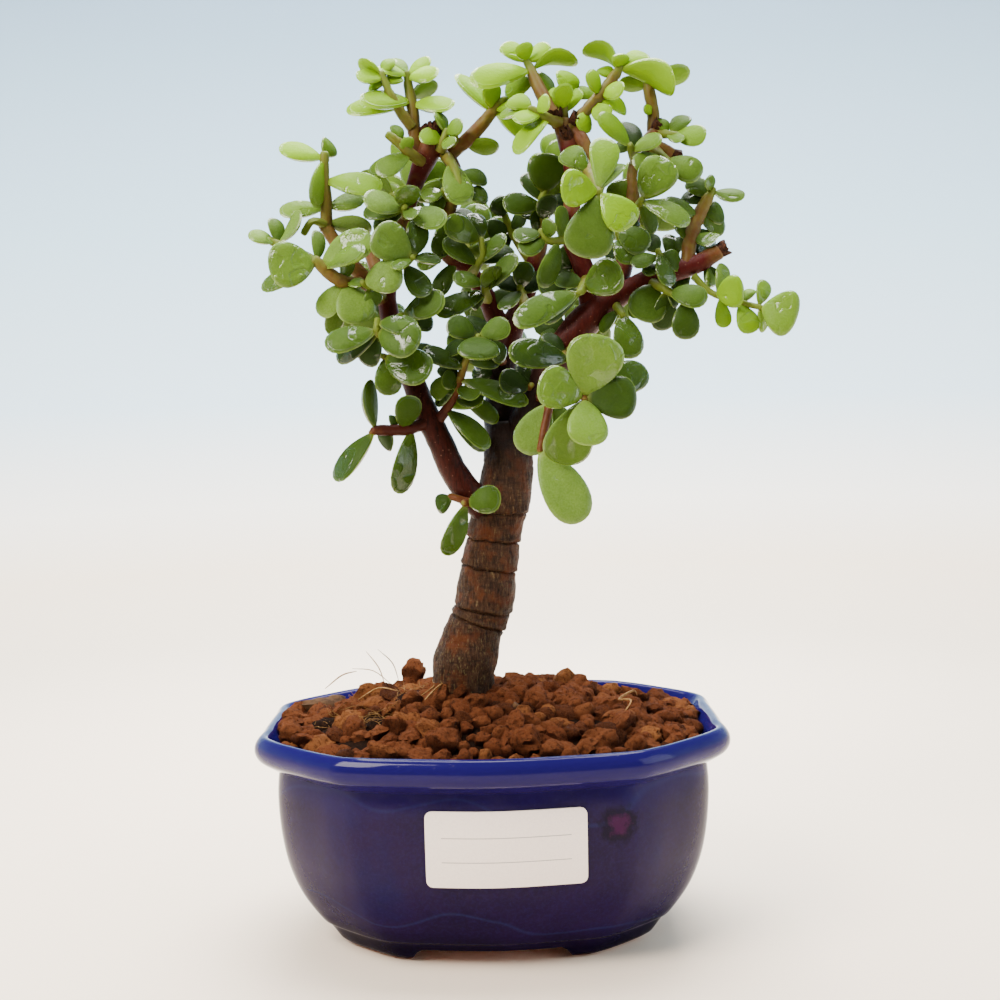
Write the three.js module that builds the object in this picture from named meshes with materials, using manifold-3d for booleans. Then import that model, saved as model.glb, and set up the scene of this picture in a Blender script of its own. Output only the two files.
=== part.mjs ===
// A dwarf jade bonsai (Portulacaria afra) standing in its glazed pot.
// Millimetres, +Z up, +Y away from the front. The origin is at the middle of the underside.
import * as THREE from "three";
import { mergeVertices } from "three/addons/utils/BufferGeometryUtils.js";
import Module from "manifold-3d";

const wasm = await Module();
wasm.setup();

// ---------------------------------------------------------------- driving dimensions

const GAP = 0.3; // clearance between neighbouring solids

// Pot: an octagon with bowed sides. A radius here is the half depth at that height.
const STRETCH = 18; // half width less half depth
const FLOOR_TOP = 12.5;
const UNDERSIDE = 5.5;
const FOOT_INSIDE = 27; // half depth inside the feet
const FOOT_GAP_FRONT = 48; // clear width between the feet on the long sides
const FOOT_GAP_SIDE = 24; // and on the short sides
const DRAIN_DIAMETER = 12;
const DRAIN_OFFSET = 25; // from the middle to each drain hole
const WALL = [
  [34, 0], [36, 2], [40, 8], [42, 9.6], [48, 19], [52, 29.4], [54.2, 41], [55, 54], [54.3, 64],
];
const LIP = [[59, 66.3], [61.8, 69], [61.6, 73], [58, 75], [55.5, 74.6], [53.6, 72.4]];
const INSIDE = [[50.8, 66], [49, 42], [43.5, 19], [36, FLOOR_TOP]];

// One quarter of the pot's plan, as shares of the half width and the half depth, from the
// middle of a long side, round its two soft corners, to the middle of a short side.
const PLAN_QUARTER = [
  [0, 1], [0.32, 0.975], [0.61, 0.89], [0.81, 0.69], [0.985, 0.44], [0.997, 0.22], [1, 0],
];
const PLAN_STEPS = 24;

// Paper label on the front wall.
const LABEL_WIDTH = 51;
const LABEL_HEIGHT = 25;
const LABEL_MIDDLE = [4, 45];
const LABEL_CORNER = 2.2;
const PAPER = 0.5;

// Drainage mesh over each hole.
const MESH_SIZE = 24;
const MESH_THICKNESS = 1.2;
const MESH_HOLES = 3;

// Soil.
const SOIL_EDGE = 71; // height at the rim
const SOIL_CROWN = 83.5; // and in the middle
const GRANULES = 88;
const GRANULE_RADIUS = 5.4;

// Leaves.
const LEAF_THICKNESS = 2.4;
const LEAF_START = 0.4; // from the middle of a stem to the feet of its leaves
const STEM_SIDES = 5;
const BUD = 1.2; // how far a stem goes past its last leaves

// The tree is laid out on a drawing plane that stands through the middle of the pot:
// x across and z up, in millimetres, with a depth behind the plane. A point is carried
// along its line of sight from this viewpoint, so what lies nearer is drawn smaller.
const VIEWPOINT = new THREE.Vector3(4.4, -453, 183.5);

// ---------------------------------------------------------------- the tree's layout

// Each limb is a list of [x, z, depth, radius].
const LIMBS = {
  trunk: [
    [-10.5, 62, 0, 9.5], [-10, 88, 0, 10.9], [-8.5, 96, 0, 11.2], [-5.8, 105.5, 0, 10],
    [-3.6, 110, 0, 9.6], [-1.6, 117, 0, 10.5], [-0.3, 125, 0, 9.9], [0.9, 132, 0, 10.1],
    [1.8, 138.5, 0, 9.2], [3.4, 145, 0, 9.6], [5.6, 152, 0, 9.6], [7.2, 160, 0, 9],
    [7.4, 169, 0, 8.1], [7, 177, 1, 7],
  ],
  leader: [
    [6.6, 168, 1, 7], [5.4, 182, 4, 5.9], [6.2, 195, 8, 5], [9, 208, 11, 4.4],
    [14, 220, 12, 3.6], [18, 232, 10, 3.1], [21, 241, 8, 2.4],
  ],
  middle: [
    [8.5, 206, 10, 3.6], [4, 215, 10, 3.5], [0, 224, 9, 3.2], [-6, 232, 7, 3], [-12, 237, 5, 2.8],
    [-12.2, 246, 4, 2.6], [-9.5, 256, 4, 2.4], [-8.5, 265, 4, 2.3], [-12, 271, 4, 2.4],
  ],
  right: [
    [10, 168, 0, 6.4], [17, 184, -5, 6.2], [25, 199, -9, 5.9], [34, 211, -12, 5.7],
    [42, 218, -13, 5], [47, 221, -13, 4.2],
  ],
  rightArm: [
    [44, 219, -13, 4], [55, 225, -14, 3.7], [65, 228.5, -16, 3.6], [74, 231, -17, 3.3],
    [81.5, 235, -18, 2.7],
  ],
  rightRiser: [
    [45, 219, -12, 3.6], [50, 235, -7, 3], [52.3, 250, -4, 2.6], [52.8, 262, -3, 2.4],
    [56, 270, -3, 2.8], [60.5, 275.5, -3, 2.7],
  ],
  rightStub: [[57, 272, -3, 2.6], [62, 270.5, -4, 2.4], [66.5, 268.3, -4, 2]],
  crownRiser: [
    [38, 214, -12, 4.4], [35.5, 229, -12, 3.6], [31, 241, -14, 3.2], [31.4, 252, -14, 3],
    [32, 263, -12, 3], [31, 272, -10, 3.7], [28.5, 280, -9, 3],
  ],
  crownStub: [[31.5, 277.5, -9, 2.7], [35.5, 273.5, -12, 2.6], [39.3, 264.8, -14, 1.5]],
  left: [
    [1, 146, -2, 5.4], [-6, 153.5, -5, 5.1], [-11.8, 162, -6, 4.8], [-15.5, 171, -7, 4.5],
    [-20, 180.5, -7, 4.4], [-24, 190.5, -5, 4.1], [-28.5, 203, -2, 3.8], [-32.5, 217, 0, 3.4],
    [-33, 226, 1, 3.1],
  ],
  leftArm: [[-33, 220, 0, 2.9], [-41, 229, -2, 2.7], [-48, 238, -3, 2.4], [-54, 247.5, -3, 2.2]],
  leftTwig: [[-34, 226, 1, 2.5], [-38.3, 237, 6, 2.3], [-41.5, 245, 11, 1.6]],
  leftRiser: [
    [-33, 223, 1, 2.9], [-29.5, 236, 2, 2.8], [-26.5, 248, 4, 2.8], [-22.5, 260, 4, 2.9],
    [-18.6, 269, 4, 3.9], [-15.3, 274.5, 4, 4.7],
  ],
};

// Each shoot has one or more green stems, laid out as limbs are, and its leaves. A leaf is
// [foot x, foot z, tip x, tip z, tip depth behind the foot, width, lean, arch]. It grows from
// the nearest point of the shoot's stems. Lean turns the blade about its length: 0 faces the
// viewpoint, up to 90 shows its edge, more of its upper face for a positive lean and of its
// underside for a negative one. Arch is how far the middle rises above the line to the tip.
const SHOOTS = {
  trefoil: {
    stems: [[[33, 270, -13, 2.3], [37.5, 263.5, -23, 2.1], [40.7, 256.3, -33, 1.6]]],
    leaves: [
      [40.5, 255.8, 35.3, 234, -3, 16.5, 8, 1], [40.4, 256, 27.6, 258.4, -6, 12.5, 12, 1],
      [40.9, 255.8, 51.6, 244.2, -3, 12.5, 18, 1], [40.9, 256.6, 43.6, 274.6, 7, 10.5, 10, 1],
      [38, 262.5, 29, 270.8, 6, 9, 20, 1], [40.8, 256.5, 48.7, 265.8, 9, 7, 40, 1],
    ],
  },
  cross: {
    stems: [[[29, 204, -12, 1.7], [30.8, 197, -26, 1.4], [33, 189.5, -38, 1.3], [34.5, 185.6, -43, 1.3]]],
    leaves: [
      [34.2, 186, 18.6, 191.8, -5, 14.5, 12, 1], [34.8, 185.2, 35.7, 169.2, -9, 14, 15, 1],
      [35, 185.4, 52.8, 185.6, -2, 15, 12, 1], [34.9, 186, 40.6, 207.6, -5, 19.5, 8, 1],
      [34.2, 187.2, 56.6, 195, 8, 12, 15, 1], [34.2, 185.4, 25.6, 163, 8, 17, 10, 1],
    ],
  },
  fall: {
    stems: [[[18, 187, -8, 1.8], [22, 184.5, -22, 1.6], [20.5, 176, -28, 1.5], [18.8, 168.5, -30, 1.3]]],
    leaves: [[22, 184.5, 13.2, 167, -3, 12.5, 10, 1], [18.8, 168, 32.6, 142.6, -6, 15.5, 12, 1.5]],
  },
  frontLong: {
    stems: [[[36, 227, -13, 2], [34.6, 223.6, -24, 1.7], [33.5, 222.3, -31, 1.3]]],
    leaves: [
      [33.6, 222.4, 10.8, 211.6, -8, 10.5, 28, 2], [34.6, 223.5, 48.4, 229.4, -6, 12.5, 12, 1],
      [35, 225, 25.3, 227.6, 5, 7, 30], [34.8, 224.5, 20.5, 212.5, 6, 8, 30],
    ],
  },
  frontRight: {
    stems: [[[58, 225.5, -15, 2], [61.5, 223.5, -22, 1.6], [66, 221, -25, 1.4], [70, 219, -26, 1.1]]],
    leaves: [
      [59.6, 225, 54.6, 212, -7, 13, 12, 1.5], [64, 221.8, 77.4, 218.2, -6, 9.5, 35, 1],
      [70, 219, 69.8, 205.2, -2, 9.5, 12, 1], [63, 222.5, 61.8, 208.4, 4, 9.5, 25, 1],
      [59, 225, 51.6, 213, -3, 7, 30], [63.5, 222.5, 67.4, 216.8, 3, 5.5, 50],
    ],
  },
  rightSpray: {
    stems: [[[73, 227, -19, 1.4], [77.5, 222.3, -21, 1.2], [82, 219.8, -23, 1.1], [90, 217.3, -25, 1.1],
      [95.8, 215.8, -27, 1]]],
    leaves: [
      [95.8, 215.8, 108.8, 212.2, -5, 15.5, 10, 1], [80.5, 220.6, 90.4, 221.8, -7, 11, 8, 1],
      [88.5, 217.6, 93.2, 207, -3, 8, 22, 0.5], [82, 219.6, 83.3, 209, -2, 6, 25, 0.5],
      [95.3, 216, 97.8, 225, 3, 6, 30, 0.5], [81, 220.4, 83.7, 230.8, 4, 6.5, 38, 0.5],
      [77, 222.8, 79.6, 228.2, 6, 6, 40], [90, 217.3, 93.2, 222, 4, 4.5, 30], [95.3, 215.8, 97, 207.2, 3, 5, 50],
    ],
  },
  underCross: {
    stems: [[[45.5, 218, -14, 1.8], [47.2, 216, -20, 1.5], [48.2, 214.5, -23, 1.2]]],
    leaves: [[48, 215, 51, 199, -4, 10.5, 22, 1], [47, 216, 40.3, 208.6, 3, 6, 45]],
  },
  shelf: {
    stems: [[[49.5, 234, -8, 1.8], [48, 239, -15, 1.5], [46.8, 243.8, -18, 1.2]]],
    leaves: [
      [46.8, 240.8, 50.9, 231.4, -6, 9, 28, 1], [47, 243.6, 57.2, 236.3, -3, 10, 24, 1],
      [47, 243.4, 43.6, 250.6, 6, 6.5, 30], [47, 244, 53.5, 247, 6, 7, 30],
    ],
  },
  shelfRight: {
    stems: [[[62, 228, -16, 2], [61.6, 231, -20, 1.6], [61, 235.5, -22, 1.2]]],
    leaves: [
      [61.2, 235.3, 64.4, 223.6, -5, 7.5, 42, 0.5], [61, 235.2, 55.8, 241.2, 6, 8, 28],
      [61.3, 234, 68.6, 231.4, 4, 8, 36], [61, 234.2, 51.4, 231.4, -2, 7, 42], [61.6, 231, 55.8, 228, -2, 5.5, 38],
    ],
  },
  gloss: {
    stems: [[[52.5, 248.5, -6, 1.8], [54, 251, -14, 1.5], [55.3, 253.3, -19, 1.2]]],
    leaves: [
      [55.3, 253.5, 64.8, 266.8, -1, 13.5, 18, 1], [55.3, 253, 71.6, 244.5, -5, 9, 42, 1.5],
      [54.5, 252, 60, 242, 4, 7, 42],
    ],
  },
  stubShoot: {
    stems: [[[70.8, 231, -17, 2.7], [72, 239.5, -15, 2.5], [75, 247.5, -12, 2.4], [78, 253, -11, 2],
      [79.8, 256, -11, 1.3]]],
    leaves: [
      [75, 247.5, 63, 252.3, -4, 7.5, 48, 0.5], [75.8, 248.5, 83.8, 247.8, 5, 8.5, 24, 0.5],
      [79.8, 255.3, 91, 254, -2, 7, 52, -0.5], [78.3, 253.6, 71.8, 259.8, 4, 7.5, 28],
      [79.6, 255.5, 78.2, 260.8, -3, 6, 50], [72.5, 241.5, 81.4, 239.6, -6, 7, 46, -1],
      [77.3, 251.5, 69.8, 255, 6, 6.5, 32], [73, 243, 80.6, 236.8, 6, 6.5, 38],
      [72, 240.5, 64.6, 235.6, 3, 6.5, 42], [72, 239, 77.6, 233.6, 4, 5, 38],
    ],
  },
  columnRight: {
    stems: [[[62, 275.8, -4, 1.8], [65, 275.2, -7, 1.4], [67.5, 275, -8, 1.1]]],
    leaves: [
      [66, 275.2, 78, 275, -3, 9, 42, -0.5], [66, 275.4, 71, 281.6, 5, 7, 36],
      [64.5, 275.6, 61.8, 280.8, 4, 5.5, 45], [64, 275.2, 69.6, 272.8, -6, 5, 52],
    ],
  },
  columnLow: {
    stems: [[[59.5, 271, -5, 2], [62, 268.3, -10, 1.7], [64.5, 266.5, -12, 1.2]]],
    leaves: [[64, 267, 75.8, 260.6, -4, 10, 26, 1], [62, 268, 53.2, 264.2, -4, 8.5, 26, 0.5]],
  },
  columnLeft: {
    stems: [[[53.5, 266, -4, 1.8], [52.3, 269.5, -10, 1.5], [51.8, 271.6, -12, 1.2]]],
    leaves: [
      [51.8, 271.2, 41.2, 282.8, -2, 8, 42, 0.5], [52.3, 270, 62.8, 274.2, -4, 7.5, 52, 0.5],
      [52.3, 270.5, 46.6, 272, 5, 6, 30], [52.6, 268, 51, 279.8, 12, 9, 26],
    ],
  },
  topRight: {
    stems: [[[60, 276.5, -2, 2.5], [59.7, 283, -1, 2.2], [58.5, 290, -1, 2.1], [57.8, 293.4, -1, 1.5]]],
    leaves: [
      [58, 292.5, 72.6, 295.2, 5, 9, -46, 1.5], [58, 291.5, 48.4, 291.8, 4, 8, -48, 1],
      [57.8, 293, 59.4, 298, -3, 5.5, 36], [59.6, 283, 56.4, 284, -4, 3.5, 20],
    ],
  },
  arc: {
    stems: [[[31, 277.5, -10, 2.4], [36.5, 283.5, -9, 2.2], [42, 289, -7, 2.1], [46.5, 294.8, -5, 2],
      [48.5, 297.8, -5, 1.4]]],
    leaves: [
      [48, 297, 35.8, 304, 3, 8.5, -50, 4.5], [48.5, 297.3, 67.4, 290.2, -6, 11, -36, 5],
      [41.5, 288.8, 37.8, 297.2, -4, 7, 52], [42, 289.2, 50, 290.6, -6, 7.5, 46, 0.5],
      [48.3, 297.5, 48.8, 302.8, -2, 7.5, 40], [48.3, 297.5, 58, 302.4, 4, 8, 44, 1],
      [46.3, 294.5, 42.2, 298.2, 4, 6, 36], [40.5, 287.5, 50.8, 283.2, 4, 7, 48, 1.5],
      [39.5, 286.5, 44, 281, -5, 7, 20], [37, 284, 35.2, 276.8, -4, 6.5, 28],
    ],
  },
  fan: {
    stems: [[[29.3, 279, -8, 2.2], [29, 284, -9, 1.8], [30, 289.5, -8, 1.3]]],
    leaves: [
      [28.9, 284.2, 28.6, 293, -6, 8, 26, 0.5], [30, 289.5, 31, 297.2, 3, 9, 26],
      [29.2, 283, 33.6, 291.8, 3, 8, 28], [30, 289, 39.8, 290, 5, 6.5, 42], [29.6, 287, 24.6, 291.2, 4, 5, 30],
    ],
  },
  high: {
    stems: [[[27.5, 279.5, -9, 2.7], [23, 287.5, -6, 2.5], [19.6, 294.5, -3, 2.2], [18, 298.5, -2, 1.6],
      [16.7, 300.8, -2, 1.2]]],
    leaves: [
      [18.3, 297.5, -2.4, 294, -9, 10.5, 45, 1.5], [18.5, 297.8, 34.4, 299.6, 3, 9, -54, 4.5],
      [16.8, 300, 8.8, 306.9, 3, 7.5, 40, 0.5], [16.8, 300.3, 23.8, 307, 2, 8, 45, -1],
      [16.8, 300.3, 15.4, 307, -3, 7, 25], [19.5, 294.5, 9.1, 290.8, 7, 9, 32, 0.5],
      [23.2, 287, 23.2, 296.6, 10, 7.5, 36],
    ],
  },
  calyx: {
    stems: [[[27.5, 280, -11, 2.1], [24, 281.3, -14, 1.8], [20.5, 283.5, -15, 1.5], [18.4, 284.8, -15, 1.2]]],
    leaves: [
      [24.3, 280.8, 12.4, 269.6, -5, 8, 48, 2.5], [18.5, 284.8, 10.6, 288.4, 5, 8, 36],
      [20, 284.3, 24.6, 287.8, -5, 6.5, 42], [21.5, 282.8, 12, 281, -4, 7.5, 54],
      [22, 281.8, 18.4, 277, 4, 5.5, 38], [18.6, 284.6, 7, 283, 5, 7, 60],
    ],
  },
  fork: {
    stems: [
      [[-10.5, 270, 3, 2.6], [-4, 275, 2, 2.5], [2, 281, 2, 2.3], [5.5, 285, 2, 1.9], [8.8, 288, 2, 1.4]],
      [[-8.5, 271.8, 2, 1.7], [-8.4, 277.6, 0, 1.4]],
    ],
    leaves: [
      [3.5, 284.5, -7, 297.2, 3, 8.5, 58, 0.5], [5, 285, 4.2, 293.8, -4, 8.5, 44, 0.5],
      [5.8, 283.8, 17.7, 275.6, 2, 9.5, 48, 1], [-4.5, 273.5, 6.6, 271.4, 4, 8.5, -48, 0.5],
      [6, 284.5, 14, 285.3, -4, 6, 58],
    ],
  },
  hanging: {
    stems: [[[-11.4, 269.8, 2, 2.1], [-8.6, 265.5, -5, 1.6], [-6.8, 260, -7, 1.4], [-5.6, 256.5, -7, 1.1]]],
    leaves: [
      [-10, 267.5, -6.2, 252.8, -9, 10, 12, 1], [-6.5, 264, 2.6, 261.2, 4, 7.5, 48, 0.5],
      [-5.8, 257, 2.8, 255.3, 3, 7.5, 42, 0.5],
    ],
  },
  crownMid: {
    stems: [[[-13.5, 271.5, 0, 1.9], [-12, 275, -2, 1.6], [-11.2, 277.8, -2, 1.2]]],
    leaves: [
      [-11.2, 277.2, -14, 284.8, 2, 6.5, 58], [-11.2, 277, -5.3, 280.4, -3, 7.5, 50],
      [-12.6, 274.5, -20.2, 277.6, 0, 7, 34], [-12.2, 275, -9, 273.2, -7, 5.5, 20],
    ],
  },
  crownLeft: {
    stems: [[[-20, 268.5, 4, 2.9], [-22, 277, 4, 2.4], [-22.3, 285, 5, 2.1], [-23.6, 293, 6, 1.7],
      [-24, 297.4, 6, 1.2]]],
    leaves: [
      [-22.6, 288, -40, 288.7, -12, 9.5, 55, 0.5], [-22.6, 287.3, -45.2, 285.4, -3, 9.5, 56, 1],
      [-21.8, 287.3, -8.2, 286.5, -5, 9.5, 56, 0.5], [-23, 289.8, -13.8, 292, 8, 8.5, -48, 1.5],
      [-24, 297, -33.8, 299.4, -5, 7.5, 64], [-24, 297, -16.6, 303.2, 2, 7.5, 56, -0.5],
      [-24, 297, -29.8, 302.8, 5, 7.5, 48], [-23.9, 296.2, -13.3, 297.2, -5, 8.5, 58, 0.5],
    ],
  },
  crownTip: {
    stems: [[[-22.8, 279.5, 3, 2], [-27, 285.5, 1, 1.8], [-30, 291, 0, 1.6], [-32.5, 297.6, 0, 1.2]]],
    leaves: [
      [-32.2, 296, -41.5, 297.1, -3, 7.5, 56], [-32.5, 297.4, -40.8, 301.2, 2, 7.5, -56, 0.5],
      [-31.6, 294.6, -37.2, 293.4, 4, 6.5, 55], [-31, 294.6, -26.4, 296.7, 5, 5.5, 38],
      [-32.5, 297.5, -28.8, 302.8, 3, 6, 44],
    ],
  },
  crownLow: {
    stems: [[[-20, 268, 1, 2.2], [-24, 271, -4, 1.9], [-27.5, 274.5, -6, 1.8], [-30.8, 277, -7, 1.5]]],
    leaves: [
      [-23.4, 270.6, -35, 263.8, -5, 8.5, 32, 1], [-24, 271, -38.2, 264.4, 3, 6.5, 46],
      [-24, 271.2, -25.4, 276.2, -3, 5.5, 20], [-27, 274.5, -28.6, 280.6, 3, 5, 25],
    ],
  },
  leftRosette: {
    stems: [[[-26, 250, 0, 1.9], [-26.2, 251.5, -9, 1.6], [-26, 252.6, -14, 1.2]]],
    leaves: [
      [-26.3, 252, -40.2, 255.8, -5, 10, 42, 0.5], [-26, 252, -24.6, 260.2, -5, 9.5, 22],
      [-25.6, 251.5, -12.2, 247, -6, 10, 40, 0.5], [-26, 251.5, -40.4, 251.4, 3, 8.5, 42, 0.5],
      [-26.2, 251.5, -37.2, 246.4, 7, 8, 36], [-26, 252, -22.8, 249, -7, 5, 25],
    ],
  },
  leftArch: {
    stems: [[[-24, 257, 5, 1.9], [-27.5, 256.6, 9, 1.5], [-30, 256.8, 10, 1.2]]],
    leaves: [[-29.5, 256.6, -42.2, 263.4, -1, 9, -42, 2.5], [-29, 256.6, -34.5, 250, 5, 7, 30]],
  },
  leftHigh: {
    stems: [
      [[-53.3, 245, -3, 2.2], [-53, 255, -3, 2.1], [-53.5, 264, -3, 1.9], [-53, 271, -3, 1.6]],
      [[-53.6, 247.5, -4, 1.6], [-58, 248.6, -7, 1.3], [-60.8, 245, -7, 1.3]],
    ],
    leaves: [
      [-53.3, 262, -33.6, 259.3, -4, 10.5, 43, 1], [-53.5, 270, -68.6, 273.8, -3, 9.5, 52],
      [-53.4, 269.6, -57.4, 253.6, -5, 9, 46, 0.5], [-53, 253.3, -69.3, 252, -3, 8.5, 50, 0.5],
      [-53, 253.5, -40, 257.2, 4, 8.5, 48, -0.5], [-53.2, 270.6, -50.6, 275.4, 5, 7.5, 28],
      [-53.2, 248.5, -37.6, 245, 4, 9.5, -42, 1],
    ],
  },
  leftFront: {
    stems: [
      [[-41.5, 227, -3, 2.3], [-47.5, 227.5, -12, 2.4], [-53, 231, -15, 2.3], [-57.4, 235.3, -16, 1.9]],
      [[-57, 235, -16, 1.5], [-65, 239.5, -13, 1.3], [-70.5, 241.3, -12, 1.4], [-73.6, 242.8, -12, 1.4]],
    ],
    leaves: [
      [-57, 234.6, -73.6, 233.2, -5, 15.5, 14, 1], [-55.5, 234, -37.6, 243, -1, 12.5, 28, 1],
      [-47.3, 227, -42.4, 213.4, -5, 13, 12, 1], [-48, 227, -56.4, 216.2, 0, 9, 30],
      [-48.4, 227.5, -52.8, 209.6, 5, 7.5, 26], [-55, 232.5, -40, 238.8, -5, 8.5, 50],
      [-57, 234.3, -76.4, 226.2, 5, 8, 38], [-56.5, 235, -56, 245.4, 5, 6, 36],
      [-48.5, 228, -45.2, 237.4, 3, 7, 42], [-47, 227.8, -41, 226.6, -5, 5, 56],
      [-70.5, 241.6, -80.2, 244.8, -2, 7, 54], [-70, 241.6, -62.6, 252.7, 3, 6.5, 58, -1.5],
      [-70.5, 241.8, -70.8, 250, 4, 6.5, 34],
    ],
  },
  leftPale: {
    stems: [[[-34.8, 222.5, -3, 1.7], [-38.2, 225, -12, 1.4], [-41, 227.2, -17, 1.2]]],
    leaves: [[-41, 227.2, -27.3, 230, -3, 12, 24, 1], [-39.5, 226, -37.6, 218.8, 3, 8, 28]],
  },
  leftRound: {
    stems: [[[-30.2, 233, -1, 1.9], [-27, 233, -12, 1.5], [-24, 235.4, -16, 1.2]]],
    leaves: [
      [-24.2, 235.4, -37, 244.8, -4, 13.5, 12, 1], [-26.4, 233.2, -19.6, 222, -3, 9, 26, 0.5],
      [-24, 235.6, -21, 248.2, 5, 9, 28], [-24, 235, -30.4, 231.6, -8, 5.5, 50],
      [-24, 235, -14, 234.6, 3, 6.5, 56],
    ],
  },
  midLeft: {
    stems: [[[-30.5, 213.8, -4, 1.7], [-28.3, 215.6, -10, 1.3]]],
    leaves: [[-28.4, 215.6, -13, 221.5, -5, 10.5, 32, 0.5], [-28.4, 215.2, -17.2, 212.8, 4, 9, 38]],
  },
  limbFront: {
    stems: [[[-29, 204, -6, 2], [-32, 206.5, -16, 1.7], [-36.5, 210, -22, 1.4], [-36.6, 214, -22, 1.2]]],
    leaves: [
      [-36.2, 210.6, -22.4, 205.4, -8, 13.5, 18, 1], [-36.5, 213.6, -22.8, 210.6, -4, 9.5, 42, 1],
      [-36.5, 211, -55, 205.8, -3, 10.5, 36, 0.5], [-36, 209.4, -41.8, 199.2, 3, 9.5, 26],
      [-36.2, 209.8, -51.2, 201, 7, 8, 32],
    ],
  },
  limbGloss: {
    stems: [[[-26.5, 197, -6, 2], [-30, 199.5, -14, 1.6], [-34.8, 201.8, -19, 1.2]]],
    leaves: [
      [-34.6, 201.6, -18.8, 195.2, -9, 13, 18, 1], [-34.2, 201.4, -33.2, 188.2, -1, 10, 22, 0.5],
      [-30.5, 199.8, -17.2, 204.4, 6, 8, 38],
    ],
  },
  midRosette: {
    stems: [[[6, 199, 5, 2], [2, 204, -8, 1.6], [-1.8, 207.8, -17, 1.2]]],
    leaves: [
      [-1.8, 207.5, -1.9, 200, -11, 14, 4, 0.5], [-1.8, 207.6, -12.5, 213.2, -1, 9, 32],
      [-1.8, 207.6, 9.2, 211.8, -1, 9, 32], [-1.4, 207.2, -2.4, 214.6, 8, 10, 28],
      [-1.2, 207, -14, 202.6, 6, 7, 46], [3.4, 202.6, -3.4, 197.4, 4, 7.5, 46], [0, 206, 7.4, 200, 4, 8, 36],
    ],
  },
  saddle: {
    stems: [[[-3.5, 229.5, 4, 1.9], [-1.3, 232.5, -2, 1.5], [0.5, 236, -4, 1.3], [0, 240.8, -4, 1.2]]],
    leaves: [
      [0, 240.6, -12.6, 247.2, -6, 10, 32, 1], [-1.5, 232.5, -13.4, 241, -5, 8.5, 46, 0.5],
      [-1, 233.4, 8.5, 242.4, -3, 7.5, 46], [-0.8, 233.2, 10.7, 237.8, 5, 8.5, 38],
      [0, 240.6, -2.5, 250.2, 5, 7.5, 28], [0, 240.2, -7.8, 251.8, 11, 7, 28],
    ],
  },
  saddleLow: {
    stems: [[[1.6, 220.5, 6, 1.9], [1, 223.5, -3, 1.5], [0.4, 226.4, -5, 1.2]]],
    leaves: [
      [1.2, 223.5, 12.4, 235.4, -5, 8, 42, 1], [0.8, 224.2, 4, 232.2, -9, 8, 40],
      [0.4, 226.2, -10.2, 228, -5, 7.5, 46, 0.5], [0.8, 222.5, -16.3, 215.8, -7, 9, 40, 1],
      [1, 223, -4.5, 219, 4, 7, 30],
    ],
  },
  midDark: {
    stems: [[[14.4, 219, 9, 2], [13.6, 222, 2, 1.6], [13, 224.4, -2, 1.2]]],
    leaves: [
      [13.2, 223.5, 14.5, 233.4, -2, 8.5, 28], [13.2, 223, 5, 228, 3, 7.5, 38], [13.4, 223.5, 6.6, 216.8, -8, 7, 50],
      [13.6, 222.4, 22, 229, 5, 8, 30],
    ],
  },
  midRight: {
    stems: [[[29.5, 241, -15, 1.9], [26.5, 240, -19, 1.6], [22.5, 240.5, -21, 1.4], [20.8, 243.2, -21, 1.1]]],
    leaves: [
      [26.6, 239.8, 19.8, 224.6, -6, 8.5, 38, 1.5], [20.8, 243, 11.1, 241.4, -3, 7.5, 48],
      [22.2, 240.4, 13.4, 236.4, -4, 8, 38], [21.8, 241, 24.8, 247, -4, 6.5, 30], [27, 240.3, 27.8, 252, -1, 6, 34],
    ],
  },
  inner: {
    stems: [[[21, 240, 8, 2.3], [22, 247.5, 4, 1.9], [21, 253.5, 1, 1.5], [22.3, 257, 0, 1.2]]],
    leaves: [
      [22.2, 256, 23.4, 269.8, -4, 13, 12, 1], [21.4, 252.5, 7.6, 253, -4, 8.5, 28, 0.5],
      [21.8, 246.6, 23, 256, -8, 8, 28, 0.5], [21.4, 253.5, 15.8, 263.4, 3, 8, 28], [22, 247, 14.4, 252, 4, 7.5, 30],
      [21.6, 250, 31, 256, 6, 8, 34],
    ],
  },
  innerLeft: {
    stems: [[[18, 231.5, 10, 2], [13.5, 238.5, 11, 1.7], [10, 244.5, 11, 1.5], [8.4, 248.8, 11, 1.2]]],
    leaves: [
      [8.6, 248.2, 4.8, 255, -3, 7.5, 30], [9.6, 245.4, 2, 243.4, -3, 8, 20], [10, 244.6, 15.8, 249.2, -5, 7, 44],
      [11, 243, 4, 236.5, 5, 8, 32],
    ],
  },
  veil: {
    stems: [[[26.5, 202, -12, 1.9], [28.6, 200.4, -22, 1.5], [30, 199.2, -28, 1.2]]],
    leaves: [[29.6, 199.4, 8.4, 202.2, -7, 11, 26, 1.5], [28, 200.8, 21, 208.6, 5, 6.5, 38]],
  },
  shade: {
    stems: [[[15, 186, -4, 2], [16.2, 190.4, -11, 1.3]]],
    leaves: [[16, 189.8, 5, 193.2, -4, 9.5, 28, 0.5], [16, 190, 13.5, 198.5, 4, 8, 30]],
  },
  lowTwig: {
    stems: [[[-17, 178.5, -8, 2], [-13.2, 183.5, -10, 1.8], [-10.6, 188, -11, 1.5], [-8.9, 193.2, -12, 1.2]]],
    leaves: [
      [-8.9, 193, 15, 184.4, -3, 9.5, 42, 1], [-13.4, 183, 0.8, 169.1, -4, 9, 40, 1.5],
      [-13.4, 183, -0.2, 168.6, 5, 8, 34], [-11.4, 186.4, 0.2, 188.4, -3, 8, 52, -2],
      [-9.6, 190.4, -2.2, 187.2, -6, 7, 38], [-9.2, 192.6, -17.2, 184.6, 3, 6.5, 42],
    ],
  },
  leftTwigLow: {
    stems: [[[-20.5, 178.5, -9, 2.2], [-28, 176.3, -13, 2.1], [-37.5, 176.3, -16, 1.9], [-39.4, 175.6, -16, 1.3]]],
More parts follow.
